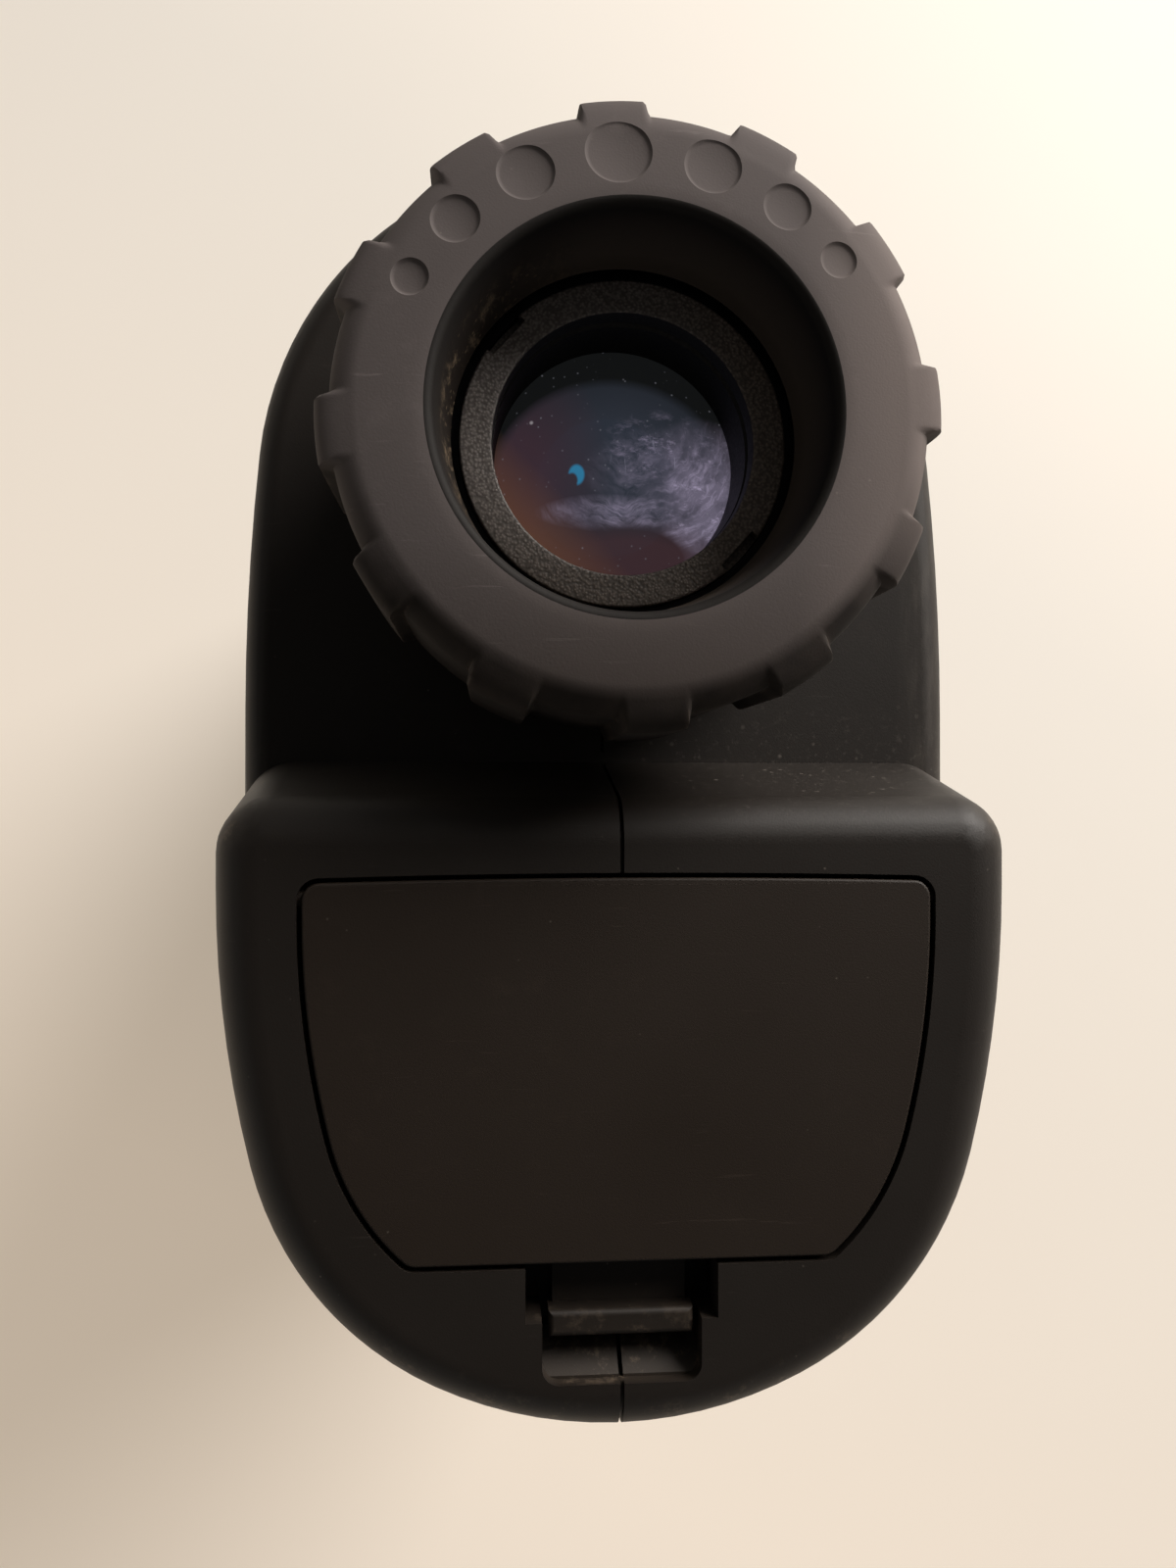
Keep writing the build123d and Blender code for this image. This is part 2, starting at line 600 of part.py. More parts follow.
# ---------------------------------------------------------------- battery bay and door
with BuildPart() as battery_tray:
    with BuildSketch(Plane.XY.offset(BATTERY_NOSE_Z - 4.0)):
        with Locations((0, BATTERY_Y)):
            Rectangle(BATTERY_WIDTH + 2.6, BATTERY_HEIGHT + 2.6)
    extrude(amount=BATTERY_REAR_Z - BATTERY_NOSE_Z + 3.8)
    with BuildSketch(Plane.XY.offset(96.2)):
        add(door_outline.sketch)
        offset(amount=1.4, mode=Mode.REPLACE)
    extrude(amount=1.3)
    with BuildSketch(Plane.XY.offset(BATTERY_NOSE_Z - 2.8)):
        with Locations((0, BATTERY_Y)):
            Rectangle(BATTERY_WIDTH + 0.6, BATTERY_HEIGHT + 0.6)
    extrude(amount=60.0, mode=Mode.SUBTRACT)
    # notches for the latch plate and for the wall behind the latch pocket
    with BuildSketch(Plane.XY.offset(96.85)):
        with Locations((0, -42.0)):
            Rectangle(12.8, 3.6)
    extrude(amount=5.0, mode=Mode.SUBTRACT)
    with BuildSketch(Plane.XY.offset(94.0)):
        with Locations((0, -43.0)):
            Rectangle(12.8, 3.0)
    extrude(amount=5.0, mode=Mode.SUBTRACT)
finish(battery_tray.part, "battery_tray")

with BuildPart() as door_gasket:
    with BuildSketch(Plane.XY.offset(97.5)):
        add(door_outline.sketch)
        offset(amount=1.3, mode=Mode.REPLACE)
    extrude(amount=0.5)
    with BuildSketch(Plane.XY.offset(97.0)):
        add(door_outline.sketch)
        offset(amount=0.4, mode=Mode.REPLACE)
    extrude(amount=2.0, mode=Mode.SUBTRACT)
    with BuildSketch(Plane.XY.offset(97.0)):
        with Locations((0, -42.4)):
            Rectangle(12.8, 3.0)
    extrude(amount=2.0, mode=Mode.SUBTRACT)
finish(door_gasket.part, "door_gasket")

with BuildPart() as battery:
    with BuildSketch(Plane.XY.offset(BATTERY_NOSE_Z)):
        with Locations((0, BATTERY_Y)):
            RectangleRounded(BATTERY_WIDTH, BATTERY_HEIGHT, 2.0)
    extrude(amount=BATTERY_LENGTH)
    for x, radius in ((-6.35, 2.9), (6.35, 3.9)):
        with BuildSketch(Plane.XY.offset(BATTERY_NOSE_Z - 2.2)):
            with Locations((x, BATTERY_Y)):
                Circle(radius)
        extrude(amount=2.2)
finish(battery.part, "battery")

with BuildPart() as battery_contacts:
    for x in (-6.35, 6.35):
        with BuildSketch(Plane.XY.offset(BATTERY_NOSE_Z - 2.8)):
            with Locations((x, BATTERY_Y)):
                Rectangle(8.0, 9.0)
        extrude(amount=0.55)
finish(battery_contacts.part, "battery_contacts")

with BuildPart() as battery_door:
    with BuildSketch(Plane.XY.offset(REAR_Z - DOOR_THICK)):
        add(door_outline.sketch)
    extrude(amount=DOOR_THICK)
    fillet(battery_door.faces().sort_by(Axis.Z)[-1].edges(), 0.3)
    # pins that the door turns on
    for side in (-1, 1):
        with BuildSketch(Plane.YZ.offset(side * (DOOR_HALF - 1.0))):
            with Locations((HINGE_Y, HINGE_Z)):
                Circle(HINGE_RADIUS)
        extrude(amount=side * 2.3)
    # rails for the latch plate, with lips under it
    for side in (-1, 1):
        with BuildSketch(Plane.XY.offset(96.65)):
            with Locations((side * 4.1, -37.8)):
                Rectangle(1.0, 4.6)
        extrude(amount=REAR_Z - DOOR_THICK - 96.65)
        with BuildSketch(Plane.XY.offset(96.65)):
            with Locations((side * 3.4, -37.8)):
                Rectangle(0.8, 4.6)
        extrude(amount=0.4)
    # seat of the latch spring
    with BuildSketch(Plane.XY.offset(REAR_Z - DOOR_THICK)):
        with Locations((0, -36.2)):
            Rectangle(2.0, 3.6)
    extrude(amount=0.8, mode=Mode.SUBTRACT)
finish(battery_door.part, "battery_door")
finish(block((14.0, 6.0, 1.6), (0, -28.5, 97.4)), "battery_pad")

with BuildPart() as door_latch:
    with BuildSketch(Plane.XY.offset(97.12)):
        with Locations((0, -38.0)):
            Rectangle(7.0, -38.0 - TAB_BOTTOM_Y, align=(Align.CENTER, Align.MAX))
    extrude(amount=1.0)
    with BuildSketch(Plane.XY.offset(97.12)):
        with Locations((0, TAB_TOP_Y)):
            Rectangle(2 * TAB_HALF, TAB_TOP_Y - TAB_BOTTOM_Y, align=(Align.CENTER, Align.MAX))
    extrude(amount=TAB_Z - 97.12)
    fillet(door_latch.faces().sort_by(Axis.Z)[-1].edges(), 0.3)
finish(door_latch.part, "door_latch")


# ---------------------------------------------------------------- springs
def spring(radius, wire, height, turns, plane):
    """A plain compression spring along a plane's normal, starting at its origin."""
    with BuildPart() as made:
        with BuildLine():
            coil = Helix(height / turns, height, radius)
        with BuildSketch(Plane(origin=coil @ 0, z_dir=coil % 0)):
            Circle(wire / 2)
        sweep(path=coil, is_frenet=True)
    return made.part.moved(plane.location)


finish(
    spring(0.55, 0.36, 2.7, 4, Plane(origin=(0, -37.68, 98.1), x_dir=(1, 0, 0), z_dir=(0, 1, 0))),
    "latch_spring",
)
finish(
    spring(4.9, 0.4, 2.7, 3, Plane(origin=(0, 13.65, POWER_Z), x_dir=(1, 0, 0), z_dir=(0, 1, 0))),
    "power_spring",
)
finish(
    spring(4.45, 0.3, 4.6, 4, Plane(origin=(-17.95, MODE_Y, MODE_Z), x_dir=(0, 1, 0), z_dir=(1, 0, 0))),
    "mode_spring",
)


# ---------------------------------------------------------------- electronics and buttons
with BuildPart() as main_pcb:
    with BuildSketch(Plane.XZ.offset(20.3)):
        with Locations((0, 58.0)):
            Rectangle(34.0, 48.0)
            with GridLocations(28.0, 42.0, 2, 2):
                Circle(1.2, mode=Mode.SUBTRACT)
    extrude(amount=-1.2)
finish(main_pcb.part, "main_pcb")

with BuildPart() as pcb_components:
    for x, z, width, length, height in (
        (0.0, 52.0, 9.0, 9.0, 1.2),
        (-9.5, 66.0, 6.0, 5.0, 1.0),
        (8.5, 68.0, 5.0, 7.0, 1.4),
        (-10.0, 46.0, 4.0, 4.0, 1.0),
        (10.0, 46.0, 5.0, 5.0, 2.6),
        (10.0, 56.0, 3.2, 6.0, 2.2),
        (-10.0, 56.0, 3.0, 2.0, 1.0),
        (0.0, 72.0, 8.0, 3.0, 2.0),
    ):
        with BuildSketch(Plane.XZ.offset(19.1)):
            with Locations((x, z)):
                Rectangle(width, length)
        extrude(amount=-height)
finish(pcb_components.part, "pcb_components")

finish(block((12.0, 1.0, 20.0), (0, 12.95, POWER_Z)), "power_board")
with BuildPart() as power_switch:
    with BuildSketch(Plane.XZ.offset(-13.45)):
        with Locations((0, POWER_Z)):
            Rectangle(6.0, 6.0)
    extrude(amount=-1.9)
    with BuildSketch(Plane.XZ.offset(-15.35)):
        with Locations((0, POWER_Z)):
            Circle(1.6)
    extrude(amount=-0.4)
finish(power_switch.part, "power_switch")

with BuildPart() as power_button:
    with BuildSketch(Plane.XZ.offset(-16.6)):
        with Locations((0, POWER_Z)):
            SlotOverall(POWER_LENGTH, POWER_WIDTH, rotation=90)
    extrude(amount=-10.0)
    with BuildSketch(Plane.XY.offset(POWER_Z - 20.0)):
        with Locations((0, ARCH_Y)):
            Circle(ARCH_RADIUS + BUTTON_PROUD)
    extrude(amount=40.0, mode=Mode.INTERSECT)
    with BuildSketch(Plane.XZ.offset(-16.6)):
        with Locations((0, POWER_Z)):
            SlotOverall(POWER_LENGTH + 2.0, POWER_WIDTH + 2.0, rotation=90)
    extrude(amount=-1.2)
finish(power_button.part, "power_button")

finish(block((1.0, 12.0, 12.0), (-12.7, MODE_Y, MODE_Z)), "mode_board")
with BuildPart() as mode_switch:
    with BuildSketch(Plane.YZ.offset(-13.2)):
        with Locations((MODE_Y, MODE_Z)):
            Rectangle(5.6, 5.6)
    extrude(amount=-3.2)
    with BuildSketch(Plane.YZ.offset(-16.4)):
        with Locations((MODE_Y, MODE_Z)):
            Circle(1.4)
    extrude(amount=-0.7)
finish(mode_switch.part, "mode_switch")

with BuildPart() as mode_button:
    with BuildSketch(Plane.YZ.offset(-18.2)):
        with Locations((MODE_Y, MODE_Z)):
            Circle(MODE_RADIUS)
    extrude(amount=-(HALF_WIDTH + BUTTON_PROUD - 18.2))
    fillet(mode_button.faces().sort_by(Axis.X)[0].edges(), 0.5)
    with BuildSketch(Plane.YZ.offset(-18.2)):
        with Locations((MODE_Y, MODE_Z)):
            Circle(MODE_RADIUS + 1.0)
    extrude(amount=-0.8)
finish(mode_button.part, "mode_button")
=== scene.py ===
"""Laser rangefinder standing on its nose, seen from the eyepiece end. Metres, in the row frame."""

import math

import bmesh
import bpy
from mathutils import Matrix, Vector


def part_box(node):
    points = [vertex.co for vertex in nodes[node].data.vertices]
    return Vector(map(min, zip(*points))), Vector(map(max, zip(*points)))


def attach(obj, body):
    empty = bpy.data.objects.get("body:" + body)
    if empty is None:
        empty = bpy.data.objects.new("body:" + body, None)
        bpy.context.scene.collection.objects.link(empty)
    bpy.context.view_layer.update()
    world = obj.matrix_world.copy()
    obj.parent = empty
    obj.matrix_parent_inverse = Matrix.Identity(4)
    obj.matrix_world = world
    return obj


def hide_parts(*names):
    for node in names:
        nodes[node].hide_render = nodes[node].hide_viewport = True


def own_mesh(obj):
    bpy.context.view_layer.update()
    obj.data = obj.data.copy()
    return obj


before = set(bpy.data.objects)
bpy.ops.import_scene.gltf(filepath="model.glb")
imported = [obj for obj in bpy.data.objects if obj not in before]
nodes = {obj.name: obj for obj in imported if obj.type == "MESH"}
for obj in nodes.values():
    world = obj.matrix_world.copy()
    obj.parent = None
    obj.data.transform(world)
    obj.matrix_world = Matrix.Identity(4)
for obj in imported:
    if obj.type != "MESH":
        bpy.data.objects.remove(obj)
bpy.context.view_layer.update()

MM = 0.001
RIM_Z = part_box("eye_ring")[1].z
RING_BASE_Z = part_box("eye_ring")[0].z
SLEEVE_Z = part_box("diopter_sleeve")[1].z
REAR_Z = RIM_Z - 6.6 * MM  # rear face of the body, round the battery door
RING_TURN = 4.1  # degrees the ring stands away from upright


# ---------------------------------------------------------------- material helpers
class Mat:
    """A node material with a few short helpers."""

    def __init__(self, name, color, roughness=0.5, metallic=0.0, specular=0.5):
        self.mat = bpy.data.materials.new(name)
        self.mat.use_nodes = True
        self.tree = self.mat.node_tree
        self.bsdf = self.tree.nodes["Principled BSDF"]
        self.coord = self.tree.nodes.new("ShaderNodeTexCoord").outputs["Object"]
        self.bsdf.inputs["Base Color"].default_value = (*color, 1)
        self.bsdf.inputs["Roughness"].default_value = roughness
        self.bsdf.inputs["Metallic"].default_value = metallic
        self.bsdf.inputs["Specular IOR Level"].default_value = specular

    def node(self, kind, **settings):
        """A shader node with its properties or inputs set by name."""
        n = self.tree.nodes.new("ShaderNode" + kind)
        for key, value in settings.items():
            if key in n.bl_rna.properties:
                setattr(n, key, value)
            else:
                n.inputs[key.replace("_", " ")].default_value = value
        return n

    def link(self, a, b):
        self.tree.links.new(a, b)

    def place(self):
        """The object coordinates x, y and z."""
        n = self.node("SeparateXYZ")
        self.link(self.coord, n.inputs[0])
        return tuple(n.outputs)

    def stretch(self, scale, turn=(0, 0, 0)):
        """Object coordinates scaled and turned."""
        n = self.node("Mapping")
        n.inputs["Scale"].default_value = scale
        n.inputs["Rotation"].default_value = turn
        self.link(self.coord, n.inputs["Vector"])
        return n.outputs["Vector"]

    def noise(self, scale, detail=3.0, rough=0.55, vector=None):
        n = self.node("TexNoise")
        n.inputs["Scale"].default_value = scale
        n.inputs["Detail"].default_value = detail
        n.inputs["Roughness"].default_value = rough
        self.link(vector or self.coord, n.inputs["Vector"])
        return n.outputs["Fac"]

    def cells(self, scale, feature="F1"):
        """Distance to the nearest of many scattered points."""
        n = self.node("TexVoronoi", feature=feature)
        n.inputs["Scale"].default_value = scale
        self.link(self.coord, n.inputs["Vector"])
        return n.outputs["Distance"]

    def ramp(self, value, low, high, a=0.0, b=1.0):
        """The value mapped from low..high to a..b, and held outside it."""
        n = self.node("MapRange", clamp=True)
        n.inputs["From Min"].default_value = low
        n.inputs["From Max"].default_value = high
        n.inputs["To Min"].default_value = a
        n.inputs["To Max"].default_value = b
        self.link(value, n.inputs["Value"])
        return n.outputs["Result"]

    def math(self, op, a, b=0):
        n = self.node("Math", operation=op)
        for socket, value in zip(n.inputs, (a, b)):
            if isinstance(value, (int, float)):
                socket.default_value = value
            else:
                self.link(value, socket)
        return n.outputs[0]

    def times(self, product, *factors):
        for factor in factors:
            product = self.math("MULTIPLY", product, factor)
        return product

    def either(self, mask, *others):
        """The largest of several masks."""
        for other in others:
            mask = self.math("MAXIMUM", mask, other)
        return mask

    def squares(self, a, b):
        return self.math("ADD", self.times(a, a), self.times(b, b))

    def mix(self, fac, a, b, blend="MIX"):
        n = self.node("Mix", data_type="RGBA", blend_type=blend)
        for socket, value in ((n.inputs["Factor"], fac), (n.inputs[6], a), (n.inputs[7], b)):
            if isinstance(value, tuple):
                socket.default_value = (*value, 1)
            elif isinstance(value, (int, float)):
                socket.default_value = value
            else:
                self.link(value, socket)
        return n.outputs[2]

    def color(self, socket):
        self.link(socket, self.bsdf.inputs["Base Color"])

    def colored(self):
        """The socket that feeds the colour so far."""
        return self.bsdf.inputs["Base Color"].links[0].from_socket

    def rough(self, socket):
        self.link(socket, self.bsdf.inputs["Roughness"])

    def bump(self, height, strength=0.3, distance=0.00005):
        """Adds a bump on top of those already there."""
        n = self.node("Bump")
        n.inputs["Strength"].default_value = strength
        n.inputs["Distance"].default_value = distance
        self.link(height, n.inputs["Height"])
        if self.bsdf.inputs["Normal"].is_linked:
            self.link(self.bsdf.inputs["Normal"].links[0].from_socket, n.inputs["Normal"])
        self.link(n.outputs["Normal"], self.bsdf.inputs["Normal"])


def edge_wear(m, distance, low, high):
    """A mask that is 1 on sharp outer edges, from the curvature a bevelled normal shows."""
    bevel = m.node("Bevel", samples=4)
    bevel.inputs["Radius"].default_value = distance
    geo = m.node("NewGeometry")
    dot = m.node("VectorMath", operation="DOT_PRODUCT")
    m.link(bevel.outputs["Normal"], dot.inputs[0])
    m.link(geo.outputs["Normal"], dot.inputs[1])
    return m.ramp(m.math("SUBTRACT", 1.0, dot.outputs["Value"]), low, high)


def moulded(name, base, dust, roughness=0.52, specular=0.3):
    """Moulded black plastic: fine spark grain, handling scuffs, hairline scratches and dust."""
    m = Mat(name, base, roughness, specular=specular)
    grain = m.noise(9000.0, 2.0)
    patch = m.noise(60.0, 4.0)
    scuff = m.ramp(m.noise(420.0, 6.0, 0.7), 0.56, 0.75)
    hair = m.ramp(m.noise(300.0, 5.0, 0.62, m.stretch((0.6, 9.0, 1.5), (0.4, 0.2, 0.7))), 0.66, 0.72)
    specks = m.times(m.ramp(m.cells(900.0), 0.03, 0.07, 1.0, 0.0), m.ramp(m.noise(220.0, 2.0), 0.5, 0.62))
    wear = m.times(scuff, m.ramp(patch, 0.45, 0.7))
    light = tuple(min(1.0, c * 2.1 + 0.008) for c in base)
    color = m.mix(m.ramp(patch, 0.3, 0.75, 0.0, 0.35), base, tuple(c * 1.35 for c in base))
    color = m.mix(m.times(wear, 0.45), color, light)
    color = m.mix(m.times(hair, 0.35), color, light)
    m.color(m.mix(m.times(specks, 0.6), color, dust))
    worn_gloss = m.times(wear, -0.08)
    m.rough(m.math("ADD", m.ramp(patch, 0.25, 0.8, roughness - 0.05, roughness + 0.08), worn_gloss))
    m.bump(grain, 0.35, 0.00002)
    m.bump(hair, 0.15, -0.00002)
    return m


def plain(name, color, roughness, metallic=0.0, grain=2500.0, spread=0.25, bump=0.2):
    """A material with small colour and gloss variation, for pieces that show little."""
    m = Mat(name, color, roughness, metallic)
    n = m.noise(grain, 4.0)
    big = m.noise(grain / 12, 3.0)
    dark = tuple(c * (1 - spread) for c in color)
    light = tuple(min(1.0, c * (1 + spread)) for c in color)
    m.color(m.mix(m.ramp(big, 0.3, 0.7), dark, light))
    m.rough(m.ramp(n, 0.3, 0.7, max(0.03, roughness - 0.08), min(1.0, roughness + 0.1)))
    m.bump(n, bump, 0.00002)
    return m


def brushed(name, color, roughness, axis_scale):
    """Metal with turning or drawing marks across one axis."""
    m = Mat(name, color, roughness, 1.0)
    lines = m.noise(900.0, 4.0, 0.6, m.stretch(axis_scale))
    m.color(m.mix(m.ramp(lines, 0.3, 0.7), tuple(c * 0.8 for c in color), color))
    m.rough(m.ramp(lines, 0.3, 0.7, roughness - 0.06, roughness + 0.12))
    m.bump(lines, 0.15, 0.00001)
    return m


def coated_glass(name, tint, rough=0.03):
    """Dark looking coated glass: clear body, thin film on top, faint smears in the gloss."""
    m = Mat(name, tint, rough)
    m.bsdf.inputs["Transmission Weight"].default_value = 0.85
    m.bsdf.inputs["IOR"].default_value = 1.52
    m.bsdf.inputs["Thin Film Thickness"].default_value = 430.0
    m.bsdf.inputs["Thin Film IOR"].default_value = 1.38
    smear = m.noise(260.0, 5.0, 0.6, m.stretch((1, 4, 1), (0, 0, 0.6)))
    m.rough(m.ramp(smear, 0.45, 0.8, rough, rough + 0.12))
    m.color(m.mix(m.ramp(m.noise(90.0), 0.3, 0.7), tint, tuple(c * 0.9 for c in tint)))
    return m


# ---------------------------------------------------------------- materials of the visible pieces
def shell_plastic():
    """The body's plastic, with dust behind the step, rubbed places on its edges and a painted highlight on
    the right-hand edge of the step.
    """
    m = moulded("shell_plastic", (0.0100, 0.0074, 0.0056), (0.10, 0.085, 0.07))
    x, y, z = m.place()
    tone = m.colored()
    # the right-hand edge of the step is painted lighter grey: a painted highlight on its rounded edge,
    # broken up by scratches
    high_back = m.times(m.ramp(z, 87.0 * MM, 88.0 * MM), m.ramp(z, 90.0 * MM, 89.5 * MM))
    scrape = m.ramp(m.noise(500.0, 6.0, 0.7, m.stretch((3.0, 0.5, 1.0))), 0.46, 0.66)
    scrape = m.math("ADD", m.times(scrape, 0.6), 0.25)
    band = m.times(m.ramp(x, 18.2 * MM, 19.6 * MM), high_back, scrape)
    tone = m.mix(m.times(band, 0.7), tone, (0.050, 0.042, 0.035))
    # the lowest rim of the rear face and the shoulders of the step are rubbed brown
    low_rim = m.times(
        m.ramp(y, -43.5 * MM, -47.5 * MM),
        m.ramp(z, 96.5 * MM, 98.5 * MM),
        m.ramp(z, 99.98 * MM, 99.4 * MM),
    )
    shoulder = m.times(
        m.ramp(m.math("ABSOLUTE", x), 18.8 * MM, 20.6 * MM),
        m.ramp(y, -21.5 * MM, -19.5 * MM),
        m.ramp(y, -14.5 * MM, -16.5 * MM),
        m.ramp(z, 88.0 * MM, 91.0 * MM),
    )
    chips = m.ramp(m.noise(700.0, 6.0, 0.75), 0.54, 0.64)
    chips = m.math("ADD", m.times(chips, 0.8), 0.12)
    rubbed = m.times(m.either(low_rim, shoulder), chips)
    tone = m.mix(m.times(rubbed, 0.8), tone, (0.110, 0.082, 0.058))
    # dust has settled in the crease of the step, on the right
    crease = m.times(
        m.ramp(y, -16.8 * MM, -11.8 * MM, 1.0, 0.0),
        m.ramp(y, -19.5 * MM, -16.5 * MM),
        m.ramp(x, 1.0 * MM, 6.0 * MM),
        m.ramp(z, 87.5 * MM, 88.2 * MM),
    )
    crumbs = m.ramp(m.noise(2600.0, 6.0, 0.75), 0.56, 0.66)
    flecks = m.times(m.ramp(m.cells(1200.0), 0.10, 0.20, 1.0, 0.0), m.ramp(m.noise(500.0, 3.0), 0.50, 0.56))
    settled = m.times(crease, m.either(m.times(crumbs, 0.5), flecks))
    m.color(m.mix(m.times(settled, 0.7), tone, (0.12, 0.105, 0.09)))
    return m


def ring_rubber():
    """Grey rubber with painted shade: its face darkens towards the bottom and its knurled side is painted
    near black; a painted highlight lightens the face at the right, and the edges of the lands are rubbed
    pale.
    """
    m = moulded("ring_rubber", (0.080, 0.068, 0.0655), (0.20, 0.175, 0.155), 0.80, 0.2)
    x, y, z = m.place()
    # painted shade: the face darkens towards the bottom
    face = m.mix(m.ramp(y, -13.0 * MM, -6.0 * MM, 1.0, 0.0), m.colored(), (0.052, 0.042, 0.038))
    # painted highlight: the face lightens towards the right, where the light comes from
    face = m.mix(m.times(m.ramp(x, 7.5 * MM, 12.0 * MM), 0.6), face, (0.150, 0.122, 0.112))
    # painted shade: the knurled side below the rim, and the outer edge of the face towards the bottom, are
    # painted near black, mottled by noise
    below = m.ramp(z, RIM_Z - 2.4 * MM, RIM_Z - 0.7 * MM, 1.0, 0.0)
    outside = m.ramp(m.squares(x, y), (12.7 * MM) ** 2, (13.5 * MM) ** 2)
    below = m.either(below, m.times(outside, m.ramp(y, -9.0 * MM, -2.0 * MM, 1.0, 0.0)))
    painted_side_shade = m.mix(m.ramp(m.noise(350.0, 5.0), 0.35, 0.65), (0.0065, 0.0045, 0.0034), (0.019, 0.014, 0.011))
    toned = m.mix(m.times(below, 0.94), face, painted_side_shade)
    rubbed = m.times(edge_wear(m, 0.45 * MM, 0.03, 0.16), m.ramp(m.noise(260.0, 5.0, 0.7), 0.44, 0.58))
    m.color(m.mix(m.times(rubbed, below, 0.45), toned, (0.15, 0.115, 0.09)))
    return m


def well_wall():
    """The wall of the well is darker than the ring's face and lighter towards its left, where lint has
    gathered; painted shade darkens it deep in the well.
    """
    m = Mat("well_wall", (0.010, 0.0075, 0.0058), 0.7, specular=0.2)
    x, _, z = m.place()
    at_left = m.ramp(x, -8.6 * MM, -2.0 * MM, 1.0, 0.0)
    low = m.ramp(z, RIM_Z - 1.8 * MM, RIM_Z - 4.0 * MM)
    deep = m.ramp(z, RIM_Z - 4.2 * MM, RIM_Z - 0.6 * MM, 1.0, 0.0)
    fluff = m.noise(1300.0, 6.0, 0.75, m.stretch((1.0, 1.0, 0.45)))
    crumbs = m.ramp(m.cells(1700.0), 0.10, 0.20, 1.0, 0.0)
    lint = m.times(m.either(m.ramp(fluff, 0.52, 0.68), m.times(crumbs, 0.8)), at_left, low)
    # the wall is darker than the ring's face and lighter towards its left; painted shade darkens it deep in
    # the well
    wall = m.mix(m.times(at_left, 0.95), (0.062, 0.049, 0.040), (0.0105, 0.0072, 0.0050))
    wall = m.mix(deep, (0.0060, 0.0045, 0.0035), wall)
    m.color(m.mix(m.times(lint, 0.9), wall, (0.21, 0.155, 0.10)))
    m.bump(fluff, 0.5, 0.00004)
    return m


def cell_grain():
    """Coarse grain of the eyepiece cell, paler at the left and right than at its foot."""
    m = Mat("cell_grain", (0.030, 0.027, 0.026), 0.5)
    x, y, _ = m.place()
    grain = m.cells(7000.0, "SMOOTH_F1")
    fine = m.noise(9000.0, 3.0)
    tint = m.mix(m.ramp(y, -7.0 * MM, -1.0 * MM, 1.0, 0.0), (0.190, 0.168, 0.156), (0.080, 0.064, 0.052))
    tint = m.mix(m.ramp(x, 1.0 * MM, 6.5 * MM), tint, (0.185, 0.150, 0.125))
    speck = m.mix(m.ramp(grain, 0.15, 0.55), (1.0, 1.0, 1.0), (0.40, 0.39, 0.385))
    m.color(m.mix(1.0, tint, speck, "MULTIPLY"))
    m.rough(m.ramp(fine, 0.3, 0.7, 0.36, 0.6))
    m.bump(grain, 0.6, -0.00005)
    m.bump(fine, 0.4, 0.00003)
    return m


